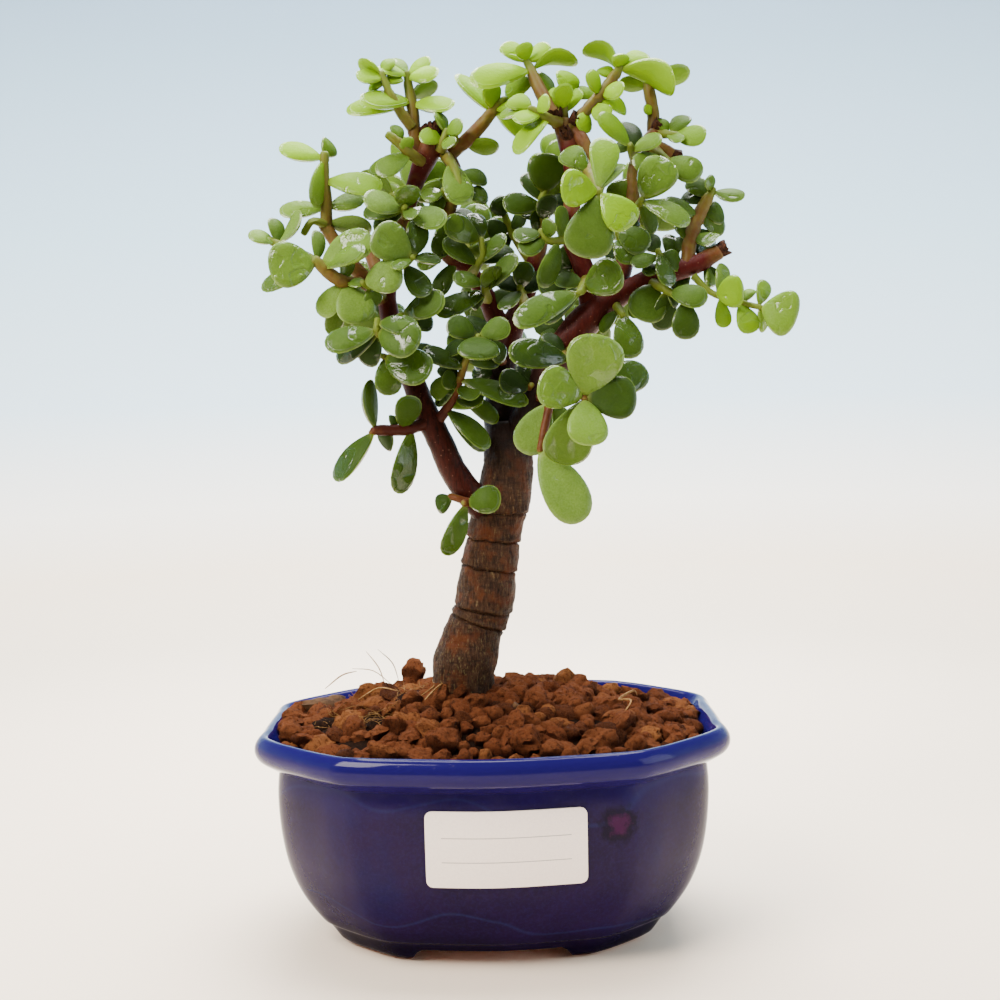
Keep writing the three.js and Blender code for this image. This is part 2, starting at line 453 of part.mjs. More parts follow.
    leaves: [
      [-38.6, 175.9, -53, 159, -3, 10, 46, 1], [-38.4, 176.2, -39.7, 194, -1, 9.5, 60, -1],
      [-25.5, 177, -31.2, 154, -4, 10, 38, 1], [-29, 176.5, -25.7, 188.2, -4, 9.5, 22, 0.5],
      [-33, 176, -36, 170.6, 6, 8, 28], [-32.5, 176.5, -32.4, 181.5, 3, 4, 40],
    ],
  },
  trunkPair: {
    stems: [
      [[-3, 150.5, -10, 1.8], [-7.8, 150.3, -15, 1.4]],
      [[-6.4, 150.4, -14, 1.5], [-12.6, 152.6, -10, 1.2]],
    ],
    leaves: [
      [-7.4, 150.4, 4.8, 151.6, -4, 10, 16, 1], [-7.4, 150, -15.3, 132, -2, 9.5, 42, 1],
      [-12.2, 152.6, -18, 148.8, 2, 7.5, 30],
    ],
  },
  midTop: {
    stems: [[[-10.4, 254.5, 3, 1.7], [-12.4, 258, 0, 1.2]]],
    leaves: [[-12.2, 257.8, -20, 255.6, -3, 7, 46], [-11.4, 256.4, -17, 250.5, 4, 7, 34]],
  },
};

// Shoots at the back of the crown: the limb and the share of its length where each starts, the
// way it aims, and its pairs of leaves. Each pair stands crosswise to the last.
const BACK_SHOOTS = {
  backLow: { limb: "leader", share: 0.45, aim: [-0.3, 1, 0.25], length: 26, pairs: 4 },
  backLeft: { limb: "left", share: 0.82, aim: [-0.35, 1, 0.2], length: 28, pairs: 4 },
  backCrownLeft: { limb: "leftRiser", share: 0.55, aim: [0.1, 1, 0.45], length: 26, pairs: 4 },
  backMiddle: { limb: "middle", share: 0.45, aim: [0.3, 1, 0.35], length: 30, pairs: 5 },
  backRight: { limb: "right", share: 0.8, aim: [0.25, 1, 0.15], length: 34, pairs: 5 },
  backCrown: { limb: "crownRiser", share: 0.62, aim: [0.05, 1, 0.3], length: 32, pairs: 4 },
  backRiser: { limb: "rightRiser", share: 0.45, aim: [0.3, 1, 0.2], length: 28, pairs: 4 },
};
const BACK_LEAF_LENGTH = 16;
const BACK_LEAF_WIDTH = 10.5;

// ---------------------------------------------------------------- helpers

// A repeatable random number from 0 to 1, so the same plant grows each time.
function randomFrom(seed) {
  let state = seed;
  return () => {
    state = (state * 16807) % 2147483647;
    return state / 2147483647;
  };
}

// A closed three.js geometry as a solid, with each corner moved by shape. Triangles that
// collapse to a line, as at a pole, are left out.
function solidOf(geometry, shape = (corner) => corner) {
  const bare = geometry.index ? geometry.toNonIndexed() : geometry.clone();
  bare.deleteAttribute("normal");
  bare.deleteAttribute("uv");
  const merged = mergeVertices(bare);
  const position = merged.attributes.position;
  const corner = new THREE.Vector3();
  for (let i = 0; i < position.count; i += 1) {
    corner.fromBufferAttribute(position, i);
    const moved = shape(corner.clone());
    position.setXYZ(i, moved.x, moved.y, moved.z);
  }
  const index = merged.index.array;
  const triangles = [];
  for (let i = 0; i < index.length; i += 3) {
    const [a, b, c] = [index[i], index[i + 1], index[i + 2]];
    if (a !== b && b !== c && c !== a) triangles.push(a, b, c);
  }
  if (enclosedVolume(position, triangles) < 0) triangles.reverse();
  const mesh = new wasm.Mesh({
    numProp: 3,
    vertProperties: new Float32Array(position.array),
    triVerts: new Uint32Array(triangles),
  });
  return new wasm.Manifold(mesh);
}

// Six times the volume inside a list of triangles, negative where they face inwards.
function enclosedVolume(position, triangles) {
  const [a, b, c] = [new THREE.Vector3(), new THREE.Vector3(), new THREE.Vector3()];
  let sum = 0;
  for (let i = 0; i < triangles.length; i += 3) {
    a.fromBufferAttribute(position, triangles[i]);
    b.fromBufferAttribute(position, triangles[i + 1]);
    c.fromBufferAttribute(position, triangles[i + 2]);
    sum += a.dot(b.cross(c));
  }
  return sum;
}

// The join of several solids.
function joined(solids) {
  return solids.reduce((whole, solid) => whole.add(solid));
}

// The largest body of a solid, without scraps that a cut left loose.
function largestBody(solid) {
  const bodies = solid.decompose();
  return bodies.reduce((best, body) => (body.volume() > best.volume() ? body : best));
}

// A named mesh with its finish, from a solid.
function meshOf(name, solid, colour, roughness, metalness = 0) {
  const { vertProperties, triVerts, numProp } = solid.getMesh();
  const corners = new Float32Array((vertProperties.length / numProp) * 3);
  for (let i = 0; i < corners.length / 3; i += 1) {
    corners.set(vertProperties.subarray(i * numProp, i * numProp + 3), i * 3);
  }
  const geometry = new THREE.BufferGeometry();
  geometry.setAttribute("position", new THREE.BufferAttribute(corners, 3));
  geometry.setIndex(new THREE.BufferAttribute(new Uint32Array(triVerts), 1));
  geometry.computeVertexNormals();
  const mesh = new THREE.Mesh(geometry, new THREE.MeshStandardMaterial({ color: colour, roughness, metalness }));
  mesh.name = name;
  return mesh;
}

// Do two solids' boxes meet?
function boxesMeet(one, other) {
  const a = one.boundingBox();
  const b = other.boundingBox();
  return [0, 1, 2].every((axis) => a.min[axis] <= b.max[axis] && b.min[axis] <= a.max[axis]);
}

// How large a thing at a depth is drawn, next to the same thing on the drawing plane.
function nearness(depth) {
  return (depth - VIEWPOINT.y) / -VIEWPOINT.y;
}

// A point of the drawing plane, carried back to its depth along the line of sight.
function seen(x, z, depth) {
  return new THREE.Vector3(x, 0, z).sub(VIEWPOINT).multiplyScalar(nearness(depth)).add(VIEWPOINT);
}

// ---------------------------------------------------------------- pot, label and mesh

// A point of the pot's plan for a half depth, step being how far round it is out of
// PLAN_STEPS. Near the middle the half width shrinks with the half depth, so that the plan
// closes to a point.
function planPoint(step, halfDepth) {
  const quarter = PLAN_STEPS / 4;
  const round = ((step % PLAN_STEPS) + PLAN_STEPS) % PLAN_STEPS;
  const turn = Math.floor(round / quarter);
  const into = turn % 2 === 0 ? round % quarter : quarter - (round % quarter);
  const before = Math.min(Math.floor(into), quarter - 1);
  const across = THREE.MathUtils.lerp(PLAN_QUARTER[before][0], PLAN_QUARTER[before + 1][0], into - before);
  const along = THREE.MathUtils.lerp(PLAN_QUARTER[before][1], PLAN_QUARTER[before + 1][1], into - before);
  const signX = turn < 2 ? 1 : -1;
  const signY = turn === 0 || turn === 3 ? -1 : 1;
  const halfWidth = halfDepth + Math.min(STRETCH, halfDepth / 2);
  return new THREE.Vector2(signX * across * halfWidth, signY * along * halfDepth);
}

// A profile of [half depth, height] swept round the pot's plan.
function aroundPlan(profile) {
  const lathe = new THREE.LatheGeometry(profile.map(([r, z]) => new THREE.Vector2(r, z)), PLAN_STEPS);
  return solidOf(lathe, (corner) => {
    const halfDepth = Math.hypot(corner.x, corner.z);
    const step = Math.round((Math.atan2(corner.x, corner.z) / (2 * Math.PI)) * PLAN_STEPS);
    const place = planPoint(step, halfDepth);
    return new THREE.Vector3(place.x, place.y, corner.y);
  });
}

function box(width, depth, height, x, y, z) {
  return solidOf(new THREE.BoxGeometry(width, depth, height).translate(x, y, z));
}

// The pot's wall up to its lip, filled, let out by a margin.
function filledWall(margin) {
  const wall = WALL.map(([r, z]) => [r + margin, z]);
  return aroundPlan([[0, 0], ...wall, [0, WALL.at(-1)[1]]]);
}

function makePot() {
  const profile = [
    [0, UNDERSIDE], [FOOT_INSIDE, UNDERSIDE], [FOOT_INSIDE, 0],
    ...WALL, ...LIP, ...INSIDE, [0, FLOOR_TOP],
  ];
  const footGaps = [
    box(FOOT_GAP_FRONT, 200, 2 * UNDERSIDE, 0, 0, 0),
    box(240, FOOT_GAP_SIDE, 2 * UNDERSIDE, 0, 0, 0),
  ];
  const drains = [-DRAIN_OFFSET, DRAIN_OFFSET].map((x) => {
    const bore = new THREE.CylinderGeometry(DRAIN_DIAMETER / 2, DRAIN_DIAMETER / 2, 4 * FLOOR_TOP, 16);
    return solidOf(bore.rotateX(Math.PI / 2).translate(x, 0, 0));
  });
  return aroundPlan(profile).subtract(joined([...footGaps, ...drains]));
}

// The label is the layer just outside the wall, cut to a rectangle with round corners.
function makeLabel() {
  const [halfWidth, halfHeight, corner] = [LABEL_WIDTH / 2, LABEL_HEIGHT / 2, LABEL_CORNER];
  const outline = new THREE.Shape();
  outline.moveTo(-halfWidth + corner, -halfHeight);
  outline.absarc(halfWidth - corner, -halfHeight + corner, corner, -Math.PI / 2, 0);
  outline.absarc(halfWidth - corner, halfHeight - corner, corner, 0, Math.PI / 2);
  outline.absarc(-halfWidth + corner, halfHeight - corner, corner, Math.PI / 2, Math.PI);
  outline.absarc(-halfWidth + corner, -halfHeight + corner, corner, Math.PI, 1.5 * Math.PI);
  const reach = 30;
  const block = new THREE.ExtrudeGeometry(outline, { depth: reach, bevelEnabled: false, curveSegments: 3 });
  block.rotateX(Math.PI / 2).translate(LABEL_MIDDLE[0], -WALL[6][0] + reach / 2, LABEL_MIDDLE[1]);
  return filledWall(GAP + PAPER).subtract(filledWall(GAP)).intersect(solidOf(block));
}

// A square of drainage mesh, lying on the floor over a drain hole.
function makeMesh(x) {
  const level = FLOOR_TOP + GAP + MESH_THICKNESS / 2;
  const pitch = MESH_SIZE / (MESH_HOLES + 0.5);
  const holes = [];
  for (let row = 0; row < MESH_HOLES; row += 1) {
    for (let column = 0; column < MESH_HOLES; column += 1) {
      const holeX = x + (column - (MESH_HOLES - 1) / 2) * pitch;
      const holeY = (row - (MESH_HOLES - 1) / 2) * pitch;
      holes.push(box(0.62 * pitch, 0.62 * pitch, 2 * MESH_THICKNESS, holeX, holeY, level));
    }
  }
  return box(MESH_SIZE, MESH_SIZE, MESH_THICKNESS, x, 0, level).subtract(joined(holes));
}

// ---------------------------------------------------------------- soil

// A coarse granule: a broken lump with flat faces, squashed and turned at random.
function granule(place, radius, random) {
  const lump = new THREE.OctahedronGeometry(radius, 0);
  lump.scale(0.9 + 0.3 * random(), 0.9 + 0.3 * random(), 0.8 + 0.2 * random());
  lump.rotateX(random() * Math.PI).rotateZ(random() * Math.PI);
  return solidOf(lump.translate(place.x, place.y, place.z));
}

// The soil fills the pot and rises to a low dome of granules. The wood stands in a hole in it.
function makeSoil(woodHole, meshPlaces) {
  const edge = INSIDE[0][0] - GAP;
  const walls = INSIDE.map(([r, z]) => [r - GAP, z]).reverse().slice(1);
  const bottom = [[0, FLOOR_TOP + GAP], [INSIDE.at(-1)[0] - GAP, FLOOR_TOP + GAP]];
  const domeHeight = (share) => SOIL_EDGE + (SOIL_CROWN - SOIL_EDGE) * (1 - share * share);
  const dome = [1, 0.55, 0].map((share) => [share * edge, domeHeight(share)]);
  const filling = aroundPlan([...bottom, ...walls, ...dome]);
  const room = aroundPlan([...bottom, ...walls, [edge, 2 * SOIL_CROWN], [0, 2 * SOIL_CROWN]]);
  const random = randomFrom(4171);
  const granules = [];
  for (let i = 0; i < GRANULES; i += 1) {
    const share = Math.sqrt((i + 0.5) / GRANULES) * 0.98;
    const plan = planPoint(i * 0.381966 * PLAN_STEPS, share * edge);
    const radius = GRANULE_RADIUS * (0.82 + 0.34 * random());
    const place = new THREE.Vector3(plan.x, plan.y, domeHeight(share) - 0.8 + 1.6 * random());
    granules.push(granule(place, radius, random));
  }
  const pocketHeight = 2 * (FLOOR_TOP + MESH_THICKNESS + 2 * GAP);
  const pocketSize = MESH_SIZE + 2 * GAP;
  const pockets = meshPlaces.map((x) => box(pocketSize, pocketSize, pocketHeight, x, 0, 0));
  const soil = filling.add(joined(granules)).intersect(room).subtract(woodHole);
  return largestBody(soil.subtract(joined(pockets)));
}

// ---------------------------------------------------------------- wood

// A round rod bent along the smooth curve through its points, with a radius at each point. It
// reaches a little past the last point, by bud.
function rodSolid(points, radii, sides, steps, bud, grow) {
  const curve = new THREE.CatmullRomCurve3(points);
  const frames = curve.computeFrenetFrames(steps, false);
  const radiusAt = (share) => {
    const along = curve.getUtoTmapping(share) * (points.length - 1);
    const before = Math.min(Math.floor(along), points.length - 2);
    return THREE.MathUtils.lerp(radii[before], radii[before + 1], along - before) + grow;
  };
  const profile = [new THREE.Vector2(0, 0)];
  for (let step = 0; step <= steps; step += 1) {
    profile.push(new THREE.Vector2(radiusAt(step / steps), step));
  }
  profile.push(new THREE.Vector2(0, steps));
  return solidOf(new THREE.LatheGeometry(profile, sides), (corner) => {
    const step = Math.round(corner.y);
    const beyond = { 0: -grow, [steps]: bud + grow }[step] ?? 0;
    return curve.getPointAt(step / steps)
      .addScaledVector(frames.tangents[step], beyond)
      .addScaledVector(frames.normals[step], corner.x)
      .addScaledVector(frames.binormals[step], corner.z);
  });
}

// A limb or stem from its [x, z, depth, radius] list.
function limbSolid(layout, sides, steps, bud, grow) {
  const points = layout.map(([x, z, depth]) => seen(x, z, depth));
  const radii = layout.map(([, , depth, radius]) => radius * nearness(depth));
  return rodSolid(points, radii, sides, steps, bud, grow);
}

function makeWood(grow = 0) {
  return joined(Object.entries(LIMBS).map(([name, layout]) => (
    name === "trunk" ? limbSolid(layout, 10, 15, 0, grow) : limbSolid(layout, 6, layout.length - 1, 0, grow)
  )));
}

// ---------------------------------------------------------------- leaves

// A leaf: a flattened ball drawn out from a narrow foot to a broad, round tip. Normal is the
// way that its upper face looks.
function leafSolid(foot, tip, normal, width, arch, grow = 0) {
  const axis = tip.clone().sub(foot);
  const length = axis.length();
  axis.normalize();
  const across = normal.clone().cross(axis);
  return solidOf(new THREE.SphereGeometry(1, 7, 2), (corner) => {
    const along = (1 + corner.x) / 1.9 - 0.1 * Math.abs(corner.y);
    const breadth = 1.2 * (width / 2 + grow) * Math.pow(0.1 + along, 0.8);
    const forward = along * length + grow * Math.trunc(2.02 * along - 1.01);
    const bow = arch * 4 * (forward / length) * (1 - forward / length);
    const rise = corner.y * (LEAF_THICKNESS / 2 + grow) + bow;
    return foot.clone()
      .addScaledVector(axis, forward)
      .addScaledVector(across, corner.z * breadth)
      .addScaledVector(normal, rise);
  });
}

// The way a leaf's upper face looks, turned about its axis from facing the viewpoint.
function leanedNormal(foot, axis, leanDegrees) {
  const facing = VIEWPOINT.clone().sub(foot);
  facing.addScaledVector(axis, -facing.dot(axis)).normalize();
  const side = axis.clone().cross(facing);
  if (side.z + 0.5 * side.x < 0) side.negate();
  const lean = THREE.MathUtils.degToRad(leanDegrees);
  const towardsViewpoint = facing.multiplyScalar(Math.cos(lean)).addScaledVector(side, Math.sin(lean));
  return leanDegrees < 0 ? towardsViewpoint.negate() : towardsViewpoint;
}

// The point on the middle lines of a shoot's stems that is drawn nearest to x, z.
function nearestOnStems(stems, x, z) {
  let best = null;
  let closest = Infinity;
  for (const layout of stems) {
    const curve = new THREE.CatmullRomCurve3(layout.map(([px, pz, depth]) => seen(px, pz, depth)));
    const stations = curve.getSpacedPoints(layout.length - 1);
    for (let step = 0; step < stations.length - 1; step += 0.1) {
      const before = Math.floor(step);
      const place = stations[before].clone().lerp(stations[before + 1], step - before);
      const drawn = place.clone().sub(VIEWPOINT).divideScalar(nearness(place.y)).add(VIEWPOINT);
      const distance = Math.hypot(drawn.x - x, drawn.z - z);
      if (distance < closest) {
        closest = distance;
        best = place;
      }
    }
  }
  return best;
}

// A shoot: its stems and all its leaves, each foot sunk into the stem that it grows from.
function shootSolid({ stems, leaves }, grow = 0) {
  const solids = stems.map((layout) => limbSolid(layout, STEM_SIDES, layout.length - 1, BUD, grow));
  for (const [footX, footZ, tipX, tipZ, back, width, lean, arch = 0.5] of leaves) {
    const foot = nearestOnStems(stems, footX, footZ);
    const drawnWidth = width * nearness(foot.y);
    const tip = seen(tipX, tipZ, foot.y + back);
    const axis = tip.clone().sub(foot).normalize();
    const normal = leanedNormal(foot, axis, lean);
    foot.addScaledVector(axis, LEAF_START);
    solids.push(leafSolid(foot, tip, normal, drawnWidth, arch, grow));
  }
  return joined(solids);
}

// A shoot behind the crown, grown by rule from a point of a limb.
function backShootSolid({ limb, share, aim, length, pairs }, grow = 0) {
  const random = randomFrom(Math.round(1000 * share) + 97 * pairs);
  const layout = LIMBS[limb];
  const curve = new THREE.CatmullRomCurve3(layout.map(([x, z, depth]) => seen(x, z, depth)));
  const start = curve.getPointAt(share);
  const onward = new THREE.Vector3(...aim).normalize();
  const level = new THREE.Vector3(0, 0, 1).cross(onward).normalize();
  const bend = new THREE.Vector3(random() - 0.5, 0, 0.6).multiplyScalar(length * 0.3);
  const stemPoint = (at) => start.clone().addScaledVector(onward, length * at).addScaledVector(bend, at * at);
  const solids = [rodSolid([0, 0.5, 1].map(stemPoint), [2, 1.6, 1.3], STEM_SIDES, 2, BUD, grow)];
  for (let pair = 0; pair < pairs; pair += 1) {
    const foot = stemPoint(0.25 + (0.74 * (pair + 1)) / pairs);
    const turn = pair % 2 === 0 ? 0 : Math.PI / 2;
    for (const half of [0, Math.PI]) {
      const out = level.clone().applyAxisAngle(onward, turn + half + (random() - 0.5) * 0.7);
      const axis = out.addScaledVector(onward, 0.4 + 0.4 * random()).normalize();
      const tip = foot.clone().addScaledVector(axis, BACK_LEAF_LENGTH * (0.8 + 0.35 * random()));
      const normal = onward.clone().addScaledVector(axis, -onward.dot(axis)).normalize();
      const root = foot.clone().addScaledVector(axis, LEAF_START);
      solids.push(leafSolid(root, tip, normal, BACK_LEAF_WIDTH * (0.85 + 0.3 * random()), 0.5, grow));
    }
  }
  return joined(solids);
}

// ---------------------------------------------------------------- the whole plant and pot

const group = new THREE.Group();
const meshPlaces = [-DRAIN_OFFSET, DRAIN_OFFSET];
const woodHole = makeWood(GAP);

group.add(meshOf("pot", makePot(), 0x23267a, 0.15));
group.add(meshOf("label", makeLabel(), 0xf2e3de, 0.7));
meshPlaces.forEach((x, i) => group.add(meshOf(`drain_mesh_${i + 1}`, makeMesh(x), 0x1c1c1c, 0.5)));
group.add(meshOf("soil", makeSoil(woodHole, meshPlaces), 0x7a4628, 0.95));
group.add(meshOf("trunk_and_limbs", makeWood(), 0x5b3a2c, 0.8));

// Each shoot gives way to the wood and to the shoots before it.
const placed = [];
const shoots = [
  ...Object.entries(SHOOTS).map(([name, layout]) => [name, (grow) => shootSolid(layout, grow)]),
  ...Object.entries(BACK_SHOOTS).map(([name, rule]) => [name, (grow) => backShootSolid(rule, grow)]),
];
for (const [name, build] of shoots) {
  const whole = build(0);
  const crossed = placed.filter((other) => boxesMeet(whole, other));
  const solid = largestBody(whole.subtract(joined([woodHole, ...crossed])));
  group.add(meshOf(`shoot_${name}`, solid, 0x6f9a38, 0.4));
  placed.push(build(GAP));
}

// The origin goes to the middle of the whole thing's box, at the underside.
const bounds = new THREE.Box3().setFromObject(group);
const middle = bounds.getCenter(new THREE.Vector3());
group.position.set(-middle.x, -middle.y, -bounds.min.z);

export default group;
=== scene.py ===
"""A dwarf jade bonsai (Portulacaria afra) in its glazed pot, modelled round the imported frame."""
import math
import random
from functools import partial

import bpy
from mathutils import Matrix, Vector, noise


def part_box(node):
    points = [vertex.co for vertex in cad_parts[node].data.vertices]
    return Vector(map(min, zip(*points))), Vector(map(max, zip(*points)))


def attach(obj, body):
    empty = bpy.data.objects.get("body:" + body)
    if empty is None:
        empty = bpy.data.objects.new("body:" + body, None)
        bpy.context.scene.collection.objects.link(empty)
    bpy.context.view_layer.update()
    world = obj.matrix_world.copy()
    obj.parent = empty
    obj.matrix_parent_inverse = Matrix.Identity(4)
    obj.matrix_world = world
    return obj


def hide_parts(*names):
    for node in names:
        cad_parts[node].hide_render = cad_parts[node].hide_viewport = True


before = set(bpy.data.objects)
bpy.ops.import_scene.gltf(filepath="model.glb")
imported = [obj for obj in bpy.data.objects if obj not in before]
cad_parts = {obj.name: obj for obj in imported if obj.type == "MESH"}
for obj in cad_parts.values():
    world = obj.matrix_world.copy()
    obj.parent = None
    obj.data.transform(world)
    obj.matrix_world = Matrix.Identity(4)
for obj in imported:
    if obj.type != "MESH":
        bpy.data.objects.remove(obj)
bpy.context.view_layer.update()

bl_info = {
    "name": "Dwarf jade bonsai",
    "version": (1, 0, 0),
    "blender": (4, 5, 0),
    "location": "3D View > Sidebar > Bonsai",
    "description": "Models a potted dwarf jade bonsai round its packed frame and gives it its finishes",
    "category": "Object",
}

MM = 0.001

# ---------------------------------------------------------------- sizes, in millimetres

POT_LOW, POT_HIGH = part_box("pot")
POT_MIDDLE_X = (POT_LOW.x + POT_HIGH.x) / 2 / MM
STRETCH = 18.0  # half width less half depth of the pot
FOOT_GAP_FRONT = 50.0
FOOT_GAP_SIDE = 26.0
GAP_SHIFT = 1.5  # how far the front gap is off the middle of the pot
DRAIN_RADIUS = 6.0
DRAIN_OFFSET = 25.0
ROD_SIDES = 40

# The pot's section, each point with its half depth and its height.
WALL = [
    (34, 0), (36, 2), (40, 8), (42, 9.6), (48, 19), (52, 29.4), (54.2, 41), (55, 54), (54.3, 64),
]
LIP = [(57.4, 64.6), (60.6, 67), (61.9, 69.8), (61.6, 72.6), (59.8, 74.9), (57.8, 74.8), (56.4, 72.8)]
INSIDE = [(51, 65.5), (49, 42), (43.5, 19), (36, 12.5)]
UNDERSIDE = [(8, 5.5), (26, 5.5), (27, 4.5), (27, 0.7), (27.7, 0), (33.2, 0)]
FOOT_EDGE = (34, 0.5)
UNDER_LIP = (55, 63)
FLOOR_MIDDLE = (8, 12.5)

# One end of a gap between two feet: how far it is from the gap's widest part, and its height.
FOOT_GAP_END = [(0, 0), (1.6, 0.5), (2.6, 1.5), (3.3, 3.0), (4.2, 4.4), (6.0, 5.5)]

# One quarter of the pot's plan, as shares of the half width and the half depth, from the
# middle of a long side, round its two soft corners, to the middle of a short side.
PLAN_QUARTER = [
    (0, 1), (0.32, 0.96), (0.61, 0.89), (0.81, 0.69), (0.985, 0.44), (0.997, 0.22), (1, 0),
]
PLAN_STEPS = 24
PLAN_FINE = 6  # points that the fine skin has for each step of the plan

LABEL_MIDDLE = (4.0, 45.0)
LABEL_SIZE = (51.0, 25.0)
LABEL_CORNER = 2.2
LABEL_BACK = 0.05  # between the wall and the back of the label
LABEL_LINE_GAP = 8.0  # between the ruled lines
PAPER = 0.65

SOIL_EDGE = 71.0
SOIL_REACH = 55.3  # from the middle of the pot to the outermost granules
SOIL_BRIM = 0.97  # share of the way to the rim from where on the soil lies level
SOIL_CROWN = 83.5
SOIL_CLEARANCE = 0.3
GOLDEN_TURN = 0.381966
BLOOM_AT = (39.5, -49.0, 51.0)  # the violet bloom in the glaze
FORK_SHADE_AT = (6.0, -5.0, 183.0)  # the trunk's fork, darkened with painted shade

# Corners round a limb, and the way from one ring of corners to the next.
TRUNK_SIDES, TRUNK_SPACING = 72, 0.34
LIMB_SIDES, LIMB_SPACING = 20, 1.4
STEM_SIDES, STEM_SPACING = 10, 1.2

LEAF_START = 0.4  # from the middle of a stem to the feet of its leaves
BUD = 1.2  # how far a stem goes past its last leaves
BUD_PROFILE = [(0.5, 0.92), (0.9, 0.7), (1, 0.35)]  # shares of that length and of the stem's radius
LEAF_FULLNESS = 1.1  # of a drawn leaf's width
LARGE_LEAF = 11.5  # a wider leaf gets more corners
TAPER = 0.42  # how much narrower a leaf is at its foot than at its tip
TAPER_START = 0.15
LEAF_BLUNTNESS = 2.15  # 2 gives a leaf a round tip, more a blunter one
LEAF_FLATNESS = 0.4  # how far a leaf's faces are flat, from 0 for a lens
LEAF_SIDES = 0.6  # how upright a leaf's sides are, from 1 for a lens to 0
LEAF_CUP = 0.08  # how deep a leaf is cupped, as a share of its width
LEAF_TWIST = 0.1
LEAF_ARCH = 0.5  # in millimetres, where a leaf gives none
THINNEST_LEAF = 0.55  # of a wide leaf's thickness
TAPER_PEAK = 0.83
BACK_LEAF_LENGTH = 16.0
BACK_LEAF_WIDTH = 10.5
BACK_STEM = [(0, 2.0), (0.5, 1.6), (1, 1.3)]  # shares of a back stem's length, and its radius there

# The tree is laid out on a drawing plane that stands through the middle of the pot. A point
# is carried to its depth along its line of sight from this viewpoint.
VIEWPOINT = Vector((4.4, -453.0, 183.5))

CAMERA_SENSOR = 36.0
CAMERA_LENS = 46.8
CAMERA_NEAR = 20.0
CAMERA_PITCH = math.radians(4.1)  # downwards
CAMERA_ROLL = math.radians(-1.3)

# The paper under the pot is a round floor that curves up into a wall all round.
FLOOR_RADIUS = 620.0
COVE_RADIUS = 300.0
PAPER_LENGTH = 1700.0
FLOOR_BELOW = 0.05

# The soft boxes: name, place, the spot that each one aims at, width, watts and colour.
SOFT_BOXES = [
    ("key_box", (-420, -380, 640), (0, 0, 150), 360, 12.0, "#FFF6EC"),
    ("fill_box", (560, -300, 300), (0, 0, 120), 420, 2.2, "#F3F7FF"),
    ("top_box", (20, 120, 700), (0, 0, 100), 480, 15.0, "#FFFFFF"),
    ("paper_box", (0, 380, 640), (0, 900, 180), 600, 12.0, "#FFFFFF"),
]
AIR_STRENGTH = 0.3

# Heights of the ring scars at the trunk's right edge, how far each rises to the left edge, and
# its depth.
TRUNK_SCARS = [
    (104.0, 8.5, 1.1), (110.5, 4.0, 1.1), (125.5, 3.5, 1.0), (136.0, 2.5, 1.0), (146.0, 1.5, 0.8),
    (154.0, -1.0, 0.15), (163.0, 1.0, 0.15),
]

# A scar's furrow, the welt above it and the hollow below it: share of its depth, height and width.
SCAR_PROFILE = [(-1, 0, 0.32), (0.3, 1.2, 0.8), (-0.25, -2.0, 2.0)]

# The trunk's lumps, ribs and cracks: height, and fineness across the trunk and up it.
BARK_GRAIN = [(0.5, 0.16, 0.16), (0.3, 0.8, 0.2), (0.16, 2.2, 0.6)]

CROWN_LOW, CROWN_HIGH = 215, 300  # heights between which the leaves look younger and younger
TONE_LOW, TONE_HIGH = 0.72, 0.32
TONE_BACK = 0.045  # how much older a leaf looks for each millimetre that its tip is behind its foot
TONE_WAVER = 0.1

# How dark the leaves of a shoot look, from 0 for new to 1 for old, where it isn't by height: partly their
# age, partly painted shade, darkest for the shoots deep inside the crown.
SHOOT_TONES = {
    "high": 0.02, "arc": 0.05, "fan": 0.08, "crownLeft": 0.15, "crownTip": 0.12,
    "topRight": 0.1, "rightSpray": 0.16, "leftHigh": 0.2, "leftFront": 0.34, "calyx": 0.1, "fork": 0.15,
    "gloss": 0.45, "shade": 0.95, "inner": 0.9, "innerLeft": 0.9, "midDark": 0.9,
    "veil": 0.8, "columnRight": 0.45, "columnLow": 0.55, "columnLeft": 0.45, "leftPale": 0.4,
}

SHOOT_TAPERS = {"trefoil": 0.75, "cross": 0.55, "rightSpray": 0.6, "high": 0.55, "arc": 0.5}

# How dark each leaf of a shoot looks, in the order of its leaves: partly its age, partly painted shade.
LEAF_TONES = {
    "trefoil": (0.6, 0.08, 0.08, 0.28, 0.55, 0.45),
    "cross": (0.38, 0.26, 0.85, 0.34, 0.75, 0.5),
    "fall": (0.42, 0.38),
}
